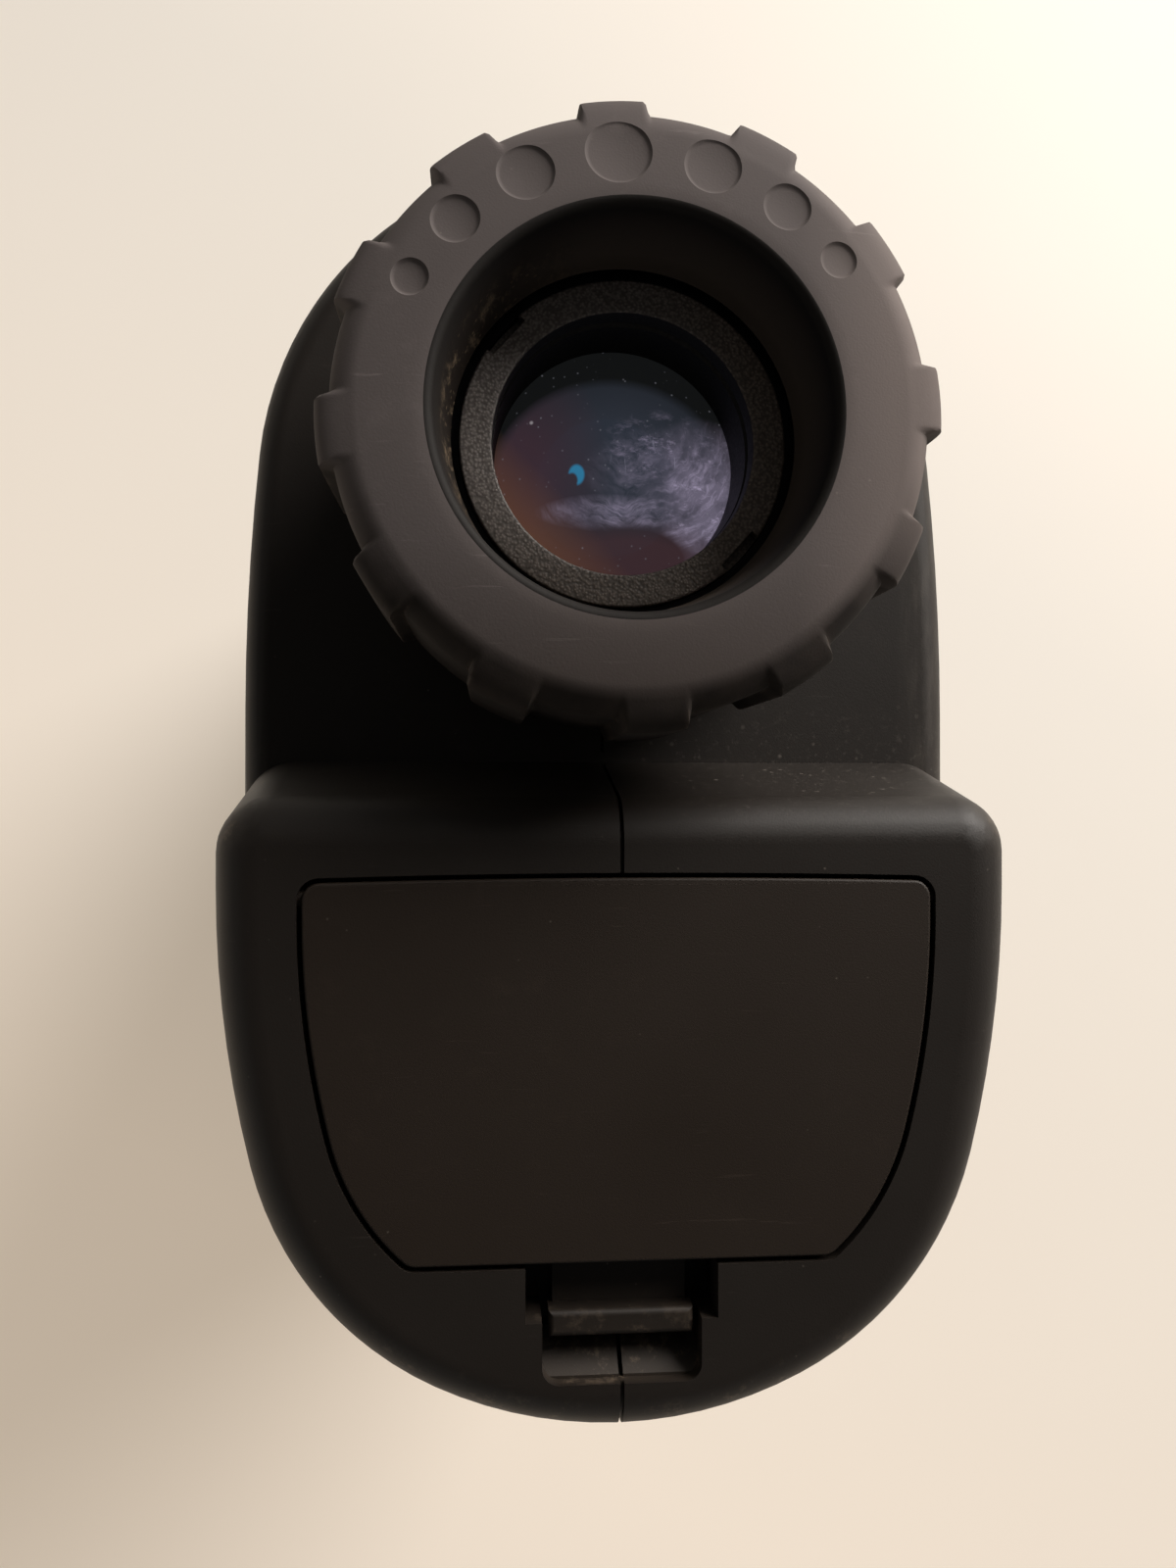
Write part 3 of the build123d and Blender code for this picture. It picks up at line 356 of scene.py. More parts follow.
def eye_lens_glass():
    """The eye lens: painted reflections in the colours of its coating, grease, dust, and a painted blue
    glint; the glass glows in these colours.
    """
    m = Mat("eye_lens_glass", (0.004, 0.005, 0.007), 0.045)
    m.bsdf.inputs["IOR"].default_value = 1.6
    m.bsdf.inputs["Thin Film Thickness"].default_value = 340.0
    m.bsdf.inputs["Thin Film IOR"].default_value = 1.38
    m.bsdf.inputs["Coat Weight"].default_value = 0.15
    m.bsdf.inputs["Coat Roughness"].default_value = 0.02
    x, y, _ = m.place()

    def spot(cx, cy, rx, ry, soft):
        """1 inside an ellipse on the lens, falling to 0 outside it; millimetres."""
        dx = m.times(m.math("SUBTRACT", x, cx * MM), 1 / (rx * MM))
        dy = m.times(m.math("SUBTRACT", y, cy * MM), 1 / (ry * MM))
        return m.ramp(m.math("SQRT", m.squares(dx, dy)), 1 - soft, 1 + soft, 1.0, 0.0)

    # painted reflections of the coating: teal in the middle, plum at the left, wine at the bottom, rust at
    # the lower left
    inside = spot(-0.1, -1.4, 6.7, 6.1, 0.05)
    teal = m.times(spot(0.2, 0.8, 6.0, 4.8, 0.6), inside)
    plum = m.times(spot(-5.4, -0.8, 3.4, 5.0, 0.55), inside)
    wine = spot(0.8, -5.2, 5.6, 1.9, 0.35)
    lower_left = m.math("ADD", m.times(x, -0.74), m.times(y, -0.67))
    rust_hued_reflection = m.ramp(lower_left, 3.1 * MM, 6.6 * MM)
    base = m.mix(teal, (0.0072, 0.0078, 0.0080), (0.028, 0.033, 0.045))
    base = m.mix(plum, base, (0.046, 0.027, 0.037))
    base = m.mix(wine, base, (0.048, 0.026, 0.031))
    base = m.mix(rust_hued_reflection, base, (0.118, 0.052, 0.030))

    # wiped grease towards the lower right, in curved strokes round a point above the middle
    from_x = m.math("SUBTRACT", x, 1.0 * MM)
    from_y = m.math("SUBTRACT", y, 2.6 * MM)
    away = m.math("SQRT", m.squares(from_x, from_y))
    waver = m.times(m.noise(380.0, 3.0), 2.2 * MM)
    strokes = m.node("CombineXYZ")
    m.link(m.times(m.math("ADD", away, waver), 3.4), strokes.inputs[0])
    m.link(m.times(m.math("ARCTAN2", from_y, from_x), 3.4 * MM), strokes.inputs[1])
    swirl = m.ramp(m.noise(620.0, 8.0, 0.74, strokes.outputs[0]), 0.36, 0.70)
    blot = m.ramp(m.noise(700.0, 7.0, 0.78, m.stretch((1.0, 2.2, 1.0), (0, 0, 0.9))), 0.50, 0.66)
    patchy = m.ramp(m.noise(480.0, 4.0, 0.65), 0.36, 0.60, 0.35, 1.0)
    lower_right = spot(4.9, -1.6, 2.7, 3.2, 0.45)
    upper = spot(2.6, 0.6, 2.6, 1.8, 0.5)
    tail = m.either(spot(1.4, -2.5, 3.9, 0.75, 0.5), m.times(spot(2.6, -0.2, 2.8, 1.6, 0.6), 0.45))
    clean = m.math("SUBTRACT", 1.0, spot(1.0, -5.0, 3.3, 1.8, 0.12))
    streaky = m.times(swirl, m.either(lower_right, tail))
    cloudy = m.times(blot, m.either(lower_right, m.times(upper, 0.7)))
    marks = m.times(m.either(streaky, cloudy, m.times(lower_right, 0.38)), clean, patchy)
    base = m.mix(m.times(marks, 0.95), base, (0.40, 0.345, 0.49))

    # dots of dust, short hairs and a few bright crumbs
    dust = m.times(m.ramp(m.cells(2100.0), 0.03, 0.15, 1.0, 0.0), m.ramp(m.noise(900.0), 0.40, 0.56))
    hairs = m.ramp(m.noise(1500.0, 4.0, 0.7, m.stretch((3.2, 0.30, 1.0), (0, 0, 0.55))), 0.66, 0.74)
    crumb = m.times(m.ramp(m.cells(560.0), 0.030, 0.075, 1.0, 0.0), m.ramp(m.noise(300.0), 0.48, 0.54))
    base = m.mix(m.times(dust, 0.45), base, (0.24, 0.24, 0.28))
    base = m.mix(m.times(hairs, upper, 0.7), base, (0.26, 0.25, 0.33))
    base = m.mix(m.times(crumb, 0.7), base, (0.36, 0.33, 0.35))
    m.color(base)
    m.rough(m.math("ADD", m.times(marks, 0.40), 0.04))

    # painted light: the glass glows in its own colours, grease and dust included, with a painted blue
    # hook-shaped glint
    hook = m.math("SUBTRACT", spot(-2.10, -0.50, 0.42, 0.54, 0.14), spot(-2.34, -0.80, 0.30, 0.40, 0.16))
    hook = m.either(hook, 0.0)
    m.link(m.mix(hook, base, (0.030, 0.20, 0.36)), m.bsdf.inputs["Emission Color"])
    m.bsdf.inputs["Emission Strength"].default_value = 0.80
    return m


shell_mat = shell_plastic()
door_mat = moulded("door_plastic", (0.0125, 0.0076, 0.0044), (0.09, 0.075, 0.06), 0.60)
ring_mat = ring_rubber()
rubber_mat = moulded("button_rubber", (0.030, 0.026, 0.025), (0.16, 0.14, 0.125), 0.72, 0.3)
inner_mat = moulded("inner_plastic", (0.0075, 0.0070, 0.0062), (0.06, 0.05, 0.04), 0.6)
anodised_mat = brushed("black_anodised", (0.022, 0.022, 0.024), 0.42, (1, 1, 14))
steel_mat = brushed("bright_steel", (0.52, 0.51, 0.50), 0.28, (8, 1, 1))
board_mat = plain("board_mask", (0.012, 0.11, 0.045), 0.35, grain=900.0)
chip_mat = plain("chip_epoxy", (0.02, 0.02, 0.021), 0.5)
jacket_mat = plain("battery_jacket", (0.05, 0.06, 0.085), 0.34, 0.4, 700.0, 0.3, 0.08)
contact_mat = brushed("contact_plating", (0.72, 0.58, 0.30), 0.3, (1, 8, 1))
foam_mat = plain("foam", (0.018, 0.018, 0.018), 0.95, grain=3500.0, bump=0.8)
bore_mat = plain("cell_bore", (0.0060, 0.0052, 0.0046), 0.62, grain=5000.0)
objective_glass = coated_glass("objective_glass", (0.55, 0.62, 0.75))
receiver_glass = coated_glass("receiver_glass", (0.16, 0.012, 0.018))
clear_glass = coated_glass("clear_glass", (0.85, 0.9, 0.92))

DRESS = {
    shell_mat: ("left_housing", "right_housing", "front_bezel", "door_latch"),
    door_mat: ("battery_door",),
    ring_mat: ("eye_ring",),
    rubber_mat: ("power_button", "mode_button", "door_gasket"),
    inner_mat: (
        "eyepiece_cell", "diopter_sleeve", "prism_holder", "prism_cover", "battery_tray",
        "display_frame", "lens_spacer", "cell_retaining_ring",
    ),
    anodised_mat: (
        "objective_barrel", "receiver_barrel", "emitter_tube", "objective_retaining_ring",
        "receiver_retaining_ring", "eyepiece_barrel", "field_stop",
    ),
    steel_mat: (
        "housing_screws", "strap_bar", "laser_diode", "avalanche_photodiode",
        "latch_spring", "power_spring", "mode_spring",
    ),
    board_mat: ("main_pcb", "emitter_board", "receiver_board", "power_board", "mode_board"),
    chip_mat: ("pcb_components", "power_switch", "mode_switch"),
    jacket_mat: ("battery",),
    contact_mat: ("battery_contacts",),
    foam_mat: ("battery_pad",),
    objective_glass: ("objective_crown_lens", "objective_flint_lens", "emitter_lens"),
    receiver_glass: ("receiver_lens",),
    clear_glass: ("field_lens", "half_penta_prism", "roof_prism", "display_glass"),
}
for material, names in DRESS.items():
    for name in names:
        nodes[name].data.materials.clear()
        nodes[name].data.materials.append(material.mat)


# ---------------------------------------------------------------- mesh helpers
def object_from(name, bm):
    """Turns a bmesh into an object of the scene."""
    mesh = bpy.data.meshes.new(name)
    bm.to_mesh(mesh)
    bm.free()
    obj = bpy.data.objects.new(name, mesh)
    bpy.context.scene.collection.objects.link(obj)
    return obj


def loose(name, bm):
    """An object with no body yet, its faces turned outwards."""
    bmesh.ops.recalc_face_normals(bm, faces=bm.faces)
    return object_from(name, bm)


def copy_of(node, name):
    """The CAD node's mesh, welded shut, in an object of its own in the row frame."""
    bm = bmesh.new()
    bm.from_mesh(nodes[node].data)
    bm.transform(nodes[node].matrix_world)
    bmesh.ops.remove_doubles(bm, verts=bm.verts, dist=1e-6)
    obj = loose(name, bm)
    for material in nodes[node].data.materials:
        obj.data.materials.append(material)
    return obj


def paint(obj, *materials):
    """Gives the object these materials in place of its own."""
    obj.data.materials.clear()
    for material in materials:
        obj.data.materials.append(material.mat)


def paint_bore(obj, radius, floor_z, top_z=math.inf):
    """Gives the faces inside a radius, between two heights, the object's second material."""
    for f in obj.data.polygons:
        if math.hypot(f.center.x, f.center.y) < radius and floor_z < f.center.z < top_z:
            f.material_index = 1


def seat(obj, body, node):
    """Puts a finished object on its body, in place of a CAD node."""
    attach(obj, body)
    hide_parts(node)


def in_metres(points):
    return [tuple(v * MM for v in point) for point in points]


def fillet_arc(centre, radius, start, end, count=8):
    """Points of an arc in (radius, z), angles in degrees."""
    out = []
    for k in range(count + 1):
        t = math.radians(start + (end - start) * k / count)
        out.append((centre[0] + radius * math.cos(t), centre[1] + radius * math.sin(t)))
    return out


def stitch(bm, loops):
    """Faces between loops of equally many vertices, each loop joined to the next."""
    for a_loop, b_loop in zip(loops, loops[1:]):
        for k in range(len(a_loop)):
            n = (k + 1) % len(a_loop)
            bm.faces.new((a_loop[k], a_loop[n], b_loop[n], b_loop[k]))


def revolve(profile, steps=192, closed=False):
    """A bmesh turned round Z from a profile of (radius, z) points in metres."""
    bm = bmesh.new()
    rings = []
    for r, z in profile:
        angles = [2 * math.pi * k / steps for k in range(steps)] if r > 1e-7 else [0.0]
        rings.append([bm.verts.new((r * math.cos(t), r * math.sin(t), z)) for t in angles])
    if closed:
        rings.append(rings[0])
    for a, b in zip(rings, rings[1:]):
        for k in range(steps):
            n = (k + 1) % steps
            quad = [a[k % len(a)], a[n % len(a)], b[n % len(b)], b[k % len(b)]]
            corners = list(dict.fromkeys(quad))
            if len(corners) >= 3:
                bm.faces.new(corners)
    return bm


def cut(obj, cutters, operation="DIFFERENCE", solver="EXACT"):
    """Applies booleans for good and removes the cutters."""
    for c in cutters:
        mod = obj.modifiers.new("cut", "BOOLEAN")
        mod.operation = operation
        mod.solver = solver
        mod.object = c
    bpy.context.view_layer.update()
    shown = obj.evaluated_get(bpy.context.evaluated_depsgraph_get())
    mesh = bpy.data.meshes.new_from_object(shown)
    obj.modifiers.clear()
    old = obj.data
    obj.data = mesh
    bpy.data.meshes.remove(old)
    for c in cutters:
        bpy.data.objects.remove(c)


def smooth(obj, sharp):
    """Smooth shading, with edges sharp above an angle in degrees."""
    for f in obj.data.polygons:
        f.use_smooth = True
    obj.data.set_sharp_from_angle(angle=math.radians(sharp))


def joined(edge, limit):
    """Whether the two faces at an edge turn by less than an angle, given as its cosine."""
    faces = edge.link_faces
    return len(faces) == 2 and faces[0].normal.dot(faces[1].normal) > limit


def flat_regions(bm, limit):
    """The number of each face's flat region, and the area of each region."""
    region, area = {}, []
    for start in bm.faces:
        if start in region:
            continue
        region[start] = len(area)
        total, queue = 0.0, [start]
        while queue:
            f = queue.pop()
            total += f.calc_area()
            for e in f.edges:
                if joined(e, limit):
                    for g in e.link_faces:
                        if g not in region:
                            region[g] = len(area)
                            queue.append(g)
        area.append(total)
    return region, area


def fans(vert, limit):
    """The faces round a vertex, in groups that no sharp edge divides."""
    left = set(vert.link_faces)
    while left:
        first = left.pop()
        fan, queue = [first], [first]
        while queue:
            f = queue.pop()
            for e in vert.link_edges:
                if f in e.link_faces and joined(e, limit):
                    for g in e.link_faces:
                        if g in left:
                            left.discard(g)
                            fan.append(g)
                            queue.append(g)
        yield fan


def calm(obj, sharp=26.0, flat=0.5):
    """Shading normals that keep flat faces flat: at each corner the widest flat region leads."""
    bm = bmesh.new()
    bm.from_mesh(obj.data)
    bm.faces.ensure_lookup_table()
    soft = math.cos(math.radians(sharp))
    region, area = flat_regions(bm, math.cos(math.radians(flat)))
    found = {}
    for v in bm.verts:
        for fan in fans(v, soft):
            leads = {}
            for f in fan:
                corner = next(c for c in f.loops if c.vert == v)
                leads[region[f]] = leads.get(region[f], Vector()) + f.normal * corner.calc_angle()
            normal = Vector()
            for key, value in leads.items():
                normal += value * area[key] ** 1.5
            normal.normalize()
            for f in fan:
                found[(f.index, v.index)] = normal
    for e in bm.edges:
        e.smooth = joined(e, soft)
    for f in bm.faces:
        f.smooth = True
    bm.to_mesh(obj.data)
    bm.free()
    obj.data.normals_split_custom_set([found[(f.index, k)] for f in obj.data.polygons for k in f.vertices])


def smoothstep(t):
    t = min(1.0, max(0.0, t))
    return t * t * (3 - 2 * t)


# ---------------------------------------------------------------- eyepiece lens
lens_low, lens_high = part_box("eye_lens")
LENS_R = lens_high.x
LENS_TOP = lens_high.z
SAG = 1.6 * MM
CURVE = (LENS_R**2 + SAG**2) / (2 * SAG)
LENS_STEPS = 48
lens_profile = []
for k in range(LENS_STEPS + 1):
    r = LENS_R * k / LENS_STEPS
    lens_profile.append((r, LENS_TOP - CURVE + math.sqrt(CURVE**2 - r**2)))
for share, height in ((1.0, 0.7), (0.5, 0.3), (0.0, 0.1)):
    lens_profile.append((LENS_R * share, lens_low.z + height * MM))
lens = loose("eye_lens_coated", revolve(lens_profile))
paint(lens, eye_lens_glass())
smooth(lens, 30)
seat(lens, "eyepiece", "eye_lens")


# ---------------------------------------------------------------- eye ring, millimetres
LANDS = 12
LAND_ARC = 13.0
LAND_HEIGHT = 0.68
LAND_ROOT_R = 13.1
SIDE_R = 14.25
BORE_R = 12.92
RING_STEPS = 720
DOTS = ((0.0, 1.56), (21.5, 1.35), (40.5, 1.14), (57.0, 0.87))  # degrees from the middle one, radius
DOT_CIRCLE_R = 11.9
DOT_DEPTH = 0.12
DOT_SUNK = 0.20
DOT_TILT = 6.5
rim, ring_base, sleeve_top = (z / MM for z in (RIM_Z, RING_BASE_Z, SLEEVE_Z))


def land(angle):
    """1 on a land, 0 between lands, for an angle in degrees."""
    pitch = 360 / LANDS
    off = (angle - 90 - RING_TURN + pitch / 2) % pitch - pitch / 2
    return smoothstep((LAND_ARC / 2 + 0.55 - abs(off)) / 1.3)


def ring_mesh():
    """The ring turned from its profile, with lands grown out of its side."""
    profile = [(8.72, sleeve_top), (8.80, sleeve_top + 0.15), (9.33, rim - 0.8)]
    profile += fillet_arc((9.80, rim - 0.45), 0.45, 178, 92, 7)
    profile += [(r, rim - 0.075 * (r - 9.9) ** 1.3) for r in (10.4, 11.0, 11.6, 12.2, 12.8)]
    profile += fillet_arc((12.62, rim - 1.92), 1.63, 78, 4, 12)
    profile += [(SIDE_R, rim - 3.6 - 2.1 * k) for k in range(4)] + [(SIDE_R, ring_base + 0.6)]
    profile += fillet_arc((SIDE_R - 0.4, ring_base + 0.4), 0.4, 0, -90, 4)
    profile += [(BORE_R, ring_base), (BORE_R, sleeve_top), (10.5, sleeve_top)]
    bm = bmesh.new()
    loops = []
    for r, z in profile:
        loop = []
        for k in range(RING_STEPS):
            turn = 360.0 * k / RING_STEPS
            reach = r
            if r > LAND_ROOT_R:
                grow = LAND_HEIGHT * land(turn) * smoothstep((r - LAND_ROOT_R) / 0.9)
                reach += grow * smoothstep((z - ring_base - 0.15) / 0.5)
            t = math.radians(turn)
            loop.append(bm.verts.new((reach * MM * math.cos(t), reach * MM * math.sin(t), z * MM)))
        loops.append(loop)
    stitch(bm, loops + loops[:1])
    return bm


def dot_cutter(angle, r):
    """A shallow round recess in the sloping face of the ring; angle in degrees, radius r."""
    t = math.radians(angle)
    profile = [
        (0, -DOT_DEPTH), (r - 0.20, -DOT_DEPTH), (r - 0.10, -0.095), (r - 0.02, -0.03),
        (r + 0.06, 0.05), (r + 0.16, 0.6), (0, 0.6),
    ]
    bm = revolve(in_metres(profile), 72)
    tilt = Matrix.Rotation(math.radians(DOT_TILT), 3, Vector((-math.sin(t), math.cos(t), 0)))
    bmesh.ops.rotate(bm, verts=bm.verts, matrix=tilt)
    centre = (DOT_CIRCLE_R * MM * math.cos(t), DOT_CIRCLE_R * MM * math.sin(t), RIM_Z - DOT_SUNK * MM)
    bmesh.ops.translate(bm, verts=bm.verts, vec=centre)
    return loose("dot", bm)


ring = loose("eye_ring_rubber", ring_mesh())
dots = []
for turn, radius in DOTS:
    for side in (-1, 1) if turn else (1,):
        dots.append(dot_cutter(90 + RING_TURN + side * turn, radius))
cut(ring, dots)
paint(ring, ring_mat, well_wall())
paint_bore(ring, 9.83 * MM, SLEEVE_Z - 0.1 * MM)
smooth(ring, 32)
seat(ring, "diopter_ring", "eye_ring")


# ---------------------------------------------------------------- eyepiece cell, millimetres
CELL_R = 8.34
CELL_EYE_R = 6.68
KEY_ANGLES = (138, 318)
cell_low, cell_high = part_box("eyepiece_cell")
top = cell_high.z / MM
lip = LENS_TOP / MM - 1.2
cell_profile = [(7.3, cell_low.z / MM), (CELL_R, cell_low.z / MM), (CELL_R, top - 0.16)]
cell_profile += fillet_arc((CELL_R - 0.14, top - 0.14), 0.14, 0, 90, 5)
cell_profile += [(7.7, top), (7.1, top)]
cell_profile += fillet_arc((CELL_EYE_R + 0.12, top - 0.12), 0.12, 90, 180, 5)
cell_profile += [(6.66, top - 1.3), (6.82, top - 1.45), (6.82, top - 1.75), (6.64, top - 1.9)]
cell_profile += [(6.62, top - 3.4), (6.55, lip + 0.05), (6.70, lip), (7.3, lip)]
cell = loose("eyepiece_cell_grained", revolve(in_metres(cell_profile), closed=True))
keys = []
for angle in KEY_ANGLES:
    t = math.radians(angle)
    bm = bmesh.new()
    bmesh.ops.create_cube(bm, size=1.0)
    bmesh.ops.scale(bm, verts=bm.verts, vec=(1.1 * MM, 2.4 * MM, 3.0 * MM))
    bmesh.ops.rotate(bm, verts=bm.verts, matrix=Matrix.Rotation(t, 3, "Z"))
    centre = (8.35 * MM * math.cos(t), 8.35 * MM * math.sin(t), cell_high.z + 0.55 * MM)
    bmesh.ops.translate(bm, verts=bm.verts, vec=centre)
    keys.append(loose("key", bm))
cut(cell, keys)
paint(cell, cell_grain(), bore_mat)
paint_bore(cell, 6.85 * MM, -math.inf, cell_high.z - 0.1 * MM)
smooth(cell, 35)
seat(cell, "eyepiece", "eyepiece_cell")


# ---------------------------------------------------------------- battery door and its opening, millimetres
HINGE_Y, HINGE_Z, HINGE_R = -23.1, 99.2, 0.45
HINGE_X, HINGE_LENGTH = 16.35, 2.3
CROWN_AT, CROWN_R, CROWN_END = (0, -618.68), 596.6, 88.528
CORNER_AT, CORNER_R = (15.3, -23.1765), 0.9
BOW_AT, BOW_R, BOW_ARC = (-29.8, -24.0), 46.0, 14.2
LOWER_R = 12.6
FOOT_R, FOOT_Y = 1.0, -40.7
LOWER_AT = (
    BOW_AT[0] + (BOW_R - LOWER_R) * math.cos(math.radians(BOW_ARC)),
    BOW_AT[1] - (BOW_R - LOWER_R) * math.sin(math.radians(BOW_ARC)),
)
FOOT_RISE = LOWER_AT[1] - FOOT_Y
FOOT_AT = (LOWER_AT[0] + math.sqrt((LOWER_R - FOOT_R) ** 2 - FOOT_RISE**2), FOOT_Y)
FOOT_TURN = -math.degrees(math.asin(FOOT_RISE / (LOWER_R - FOOT_R)))
DOOR_GAP = 0.256  # a little over the gap of the CAD opening, so that no two faces coincide
DOOR_EDGE_R = 0.16
RAIL_Z = 96.65
RAILS = ((4.1, 1.0, None), (3.4, 0.8, 0.4))  # distance from the middle, width, depth or None for full
SCOOP = (  # side view of the run-out below the latch, (y, z)
    (-45.95, 96.0), (-45.95, 97.2), (-46.5, 97.75), (-47.2, 98.5),
    (-47.75, 99.2), (-48.6, 99.2), (-48.6, 96.0),
)
SCOOP_X = (0.12, 4.4)


def door_outline(grow):
    """Outline of the door, grown outwards, in metres: crown, corner, bowed side and lower corner."""
    arcs = (
        (CROWN_AT, CROWN_R, 90.0, CROWN_END, 12),
        (CORNER_AT, CORNER_R, CROWN_END, 0.0, 12),
        (BOW_AT, BOW_R, 0.0, -BOW_ARC, 20),
        (LOWER_AT, LOWER_R, -BOW_ARC, FOOT_TURN, 24),
        (FOOT_AT, FOOT_R, FOOT_TURN, -90.0, 12),
    )
    right = []
    for centre, radius, start, end, count in arcs:
        for point in fillet_arc(centre, radius + grow, start, end, count):
            if not right or math.dist(point, right[-1]) > 1e-4:
                right.append(point)
    left = [(-x, y) for x, y in reversed(right) if x > 1e-6]
    return in_metres(right + left)


def prism(levels, outline):
    """A closed bmesh through outlines given as (grow, z) from the bottom up, z in metres."""
    bm = bmesh.new()
    loops = [[bm.verts.new((x, y, z)) for x, y in outline(grow)] for grow, z in levels]
    stitch(bm, loops)
    bm.faces.new(loops[0])
    bm.faces.new(loops[-1])
    return bm


def bar(bm, low, high):
    """Adds a box between two corners given in millimetres."""
    made = bmesh.ops.create_cube(bm, size=1.0)["verts"]
    bmesh.ops.scale(bm, verts=made, vec=[(h - l) * MM for l, h in zip(low, high)])
    bmesh.ops.translate(bm, verts=made, vec=[(h + l) / 2 * MM for l, h in zip(low, high)])


for node, sign in (("left_housing", -1), ("right_housing", 1)):
    half = copy_of(node, node + "_skin")
    opening = prism([(DOOR_GAP, REAR_Z - 1.9 * MM), (DOOR_GAP, REAR_Z + 0.3 * MM)], door_outline)
    cut(half, [loose("opening", opening)], solver="MANIFOLD")
    # the finger recess below the latch runs out in a shallow scoop
    scoop = bmesh.new()
    ends = [[scoop.verts.new((sign * x * MM, y * MM, z * MM)) for y, z in SCOOP] for x in SCOOP_X]
    stitch(scoop, ends)
    for end in ends:
        scoop.faces.new(end)
    cut(half, [loose("scoop", scoop)], "UNION", solver="MANIFOLD")
    calm(half)
    seat(half, "body", node)

door_low = REAR_Z / MM - 1.8
levels = [(-0.1, door_low * MM), (0.0, (door_low + 0.1) * MM), (0.0, REAR_Z - DOOR_EDGE_R * MM)]
for k in range(1, 7):
    t = math.radians(15 * k)
    levels.append((-DOOR_EDGE_R * (1 - math.cos(t)), REAR_Z - DOOR_EDGE_R * MM * (1 - math.sin(t))))
door = loose("battery_door_skin", prism(levels, door_outline))
spring_seat = bmesh.new()
bar(spring_seat, (-1.0, -38.0, door_low - 1), (1.0, -34.4, door_low + 0.8))
cut(door, [loose("seat", spring_seat)])
bm = bmesh.new()
bm.from_mesh(door.data)
for sign in (-1, 1):
    for middle, width, depth in RAILS:
        inner, outer = sign * middle - width / 2, sign * middle + width / 2
        bar(bm, (inner, -40.1, RAIL_Z), (outer, -35.5, RAIL_Z + depth if depth else door_low))
    radius, length = HINGE_R * MM, HINGE_LENGTH * MM
    pin = bmesh.ops.create_cone(bm, cap_ends=True, segments=48, radius1=radius, radius2=radius, depth=length)
    bmesh.ops.rotate(bm, verts=pin["verts"], matrix=Matrix.Rotation(math.pi / 2, 3, "Y"))
    bmesh.ops.translate(bm, verts=pin["verts"], vec=(sign * HINGE_X * MM, HINGE_Y * MM, HINGE_Z * MM))
bm.to_mesh(door.data)
bm.free()
paint(door, door_mat)
calm(door)
seat(door, "door", "battery_door")


# ---------------------------------------------------------------- springs, each copied into an object of its own and smoothed
SPRINGS = (  # node, body, joint, axis, a point at the fixed end in millimetres, share of length kept
    ("power_spring", "body", "power_press", (0, 1, 0), (0.0, 13.45, 61.0), 0.774),
    ("mode_spring", "body", "mode_press", (1, 0, 0), (-13.2, -8.0, 60.0), 0.837),
    ("latch_spring", "door", "latch_slide", (0, 1, 0), (0.0, -34.8, 98.1), 0.673),
)
for node, body, joint, axis, fixed_end, keep in SPRINGS:
    coil = copy_of(node, node + "_coil")
    smooth(coil, 40)
    seat(coil, body, node)
    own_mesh(coil)


# ---------------------------------------------------------------- floor, light and camera
FLOOR_HALF = 1.5
FLOOR_Z = -0.02 * MM
EYE_AT = (-6.705 * MM, -17.717 * MM, REAR_Z + 62.387 * MM)
EYE_YAW, EYE_PITCH = -0.079, 0.007
EYE_LENS = 28.125
LIGHT_COLOR = (1.0, 0.95, 0.90)

floor_mat = Mat("floor_paint_and_glow", (0.56, 0.53, 0.49), 0.7)
mottle = floor_mat.noise(14.0, 3.0)
floor_mat.color(floor_mat.mix(mottle, (0.545, 0.510, 0.470), (0.575, 0.540, 0.500)))
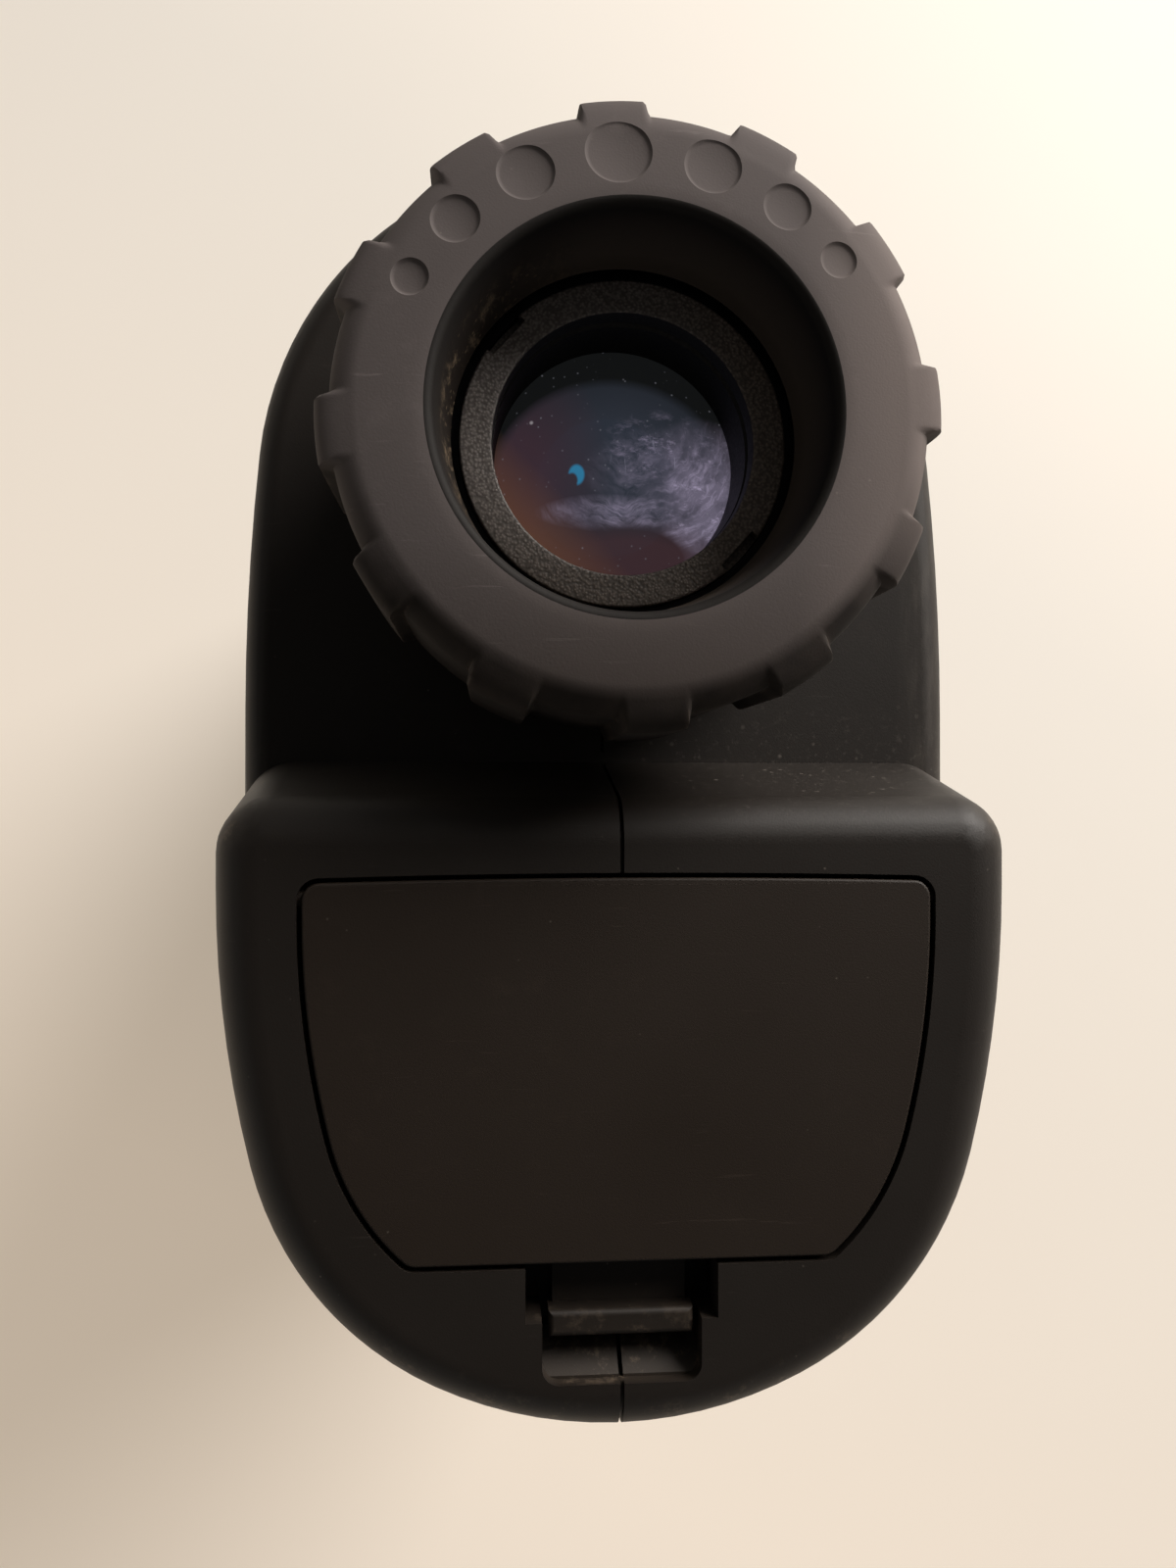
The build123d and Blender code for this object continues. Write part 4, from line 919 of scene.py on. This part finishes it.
# painted light: the floor glows, brighter and warmer towards the lower left, where it lifts the object's
# shadow
x, y, _ = floor_mat.place()
across = floor_mat.math("ADD", floor_mat.times(x, 0.7), y)
glow = floor_mat.mix(floor_mat.ramp(across, -0.10, 0.05), (0.44, 0.36, 0.275), (0.24, 0.220, 0.185))
floor_mat.link(glow, floor_mat.bsdf.inputs["Emission Color"])
floor_mat.bsdf.inputs["Emission Strength"].default_value = 1.0
bm = bmesh.new()
corners = ((-1, -1), (1, -1), (1, 1), (-1, 1))
bm.faces.new([bm.verts.new((x * FLOOR_HALF, y * FLOOR_HALF, FLOOR_Z)) for x, y in corners])
floor = object_from("floor", bm)
paint(floor, floor_mat)


def area(name, place, target, size, power, glossy=True):
    """A round soft light aimed at a point."""
    light = bpy.data.lights.new(name, "AREA")
    light.shape = "DISK"
    light.size = size
    light.energy = power
    light.color = LIGHT_COLOR
    obj = bpy.data.objects.new(name, light)
    obj.location = place
    obj.rotation_euler = (Vector(target) - Vector(place)).to_track_quat("-Z", "Y").to_euler()
    obj.visible_glossy = glossy
    bpy.context.scene.collection.objects.link(obj)


area("key", (0.36, 0.36, 0.29), (0, -0.015, 0.07), 0.36, 6.2)
area("fill", (0.40, 0.50, 0.75), (0, -0.015, 0.05), 0.6, 0.5, glossy=False)

# a pale room round the object and a dim ceiling over it
world = bpy.data.worlds.new("studio")
world.use_nodes = True
tree = world.node_tree
sky = tree.nodes["Background"]
sky.inputs["Color"].default_value = (1.0, 0.95, 0.89, 1)
toward = tree.nodes.new("ShaderNodeTexCoord")
height = tree.nodes.new("ShaderNodeSeparateXYZ")
fade = tree.nodes.new("ShaderNodeMapRange")
tree.links.new(toward.outputs["Generated"], height.inputs[0])
tree.links.new(height.outputs[2], fade.inputs["Value"])
for key, value in (("From Min", 0.0), ("From Max", 0.75), ("To Min", 0.50), ("To Max", 0.06)):
    fade.inputs[key].default_value = value
tree.links.new(fade.outputs["Result"], sky.inputs["Strength"])
bpy.context.scene.world = world

camera = bpy.data.cameras.new("camera")
camera.sensor_fit = "AUTO"
camera.sensor_width = 36.0
camera.lens = EYE_LENS
camera.clip_start = 0.005
eye = bpy.data.objects.new("camera", camera)
turn = Matrix.Rotation(EYE_YAW, 4, "Y") @ Matrix.Rotation(EYE_PITCH, 4, "X")
eye.matrix_world = Matrix.Translation(EYE_AT) @ turn
bpy.context.scene.collection.objects.link(eye)
bpy.context.scene.camera = eye
bpy.context.scene.view_settings.view_transform = "Standard"
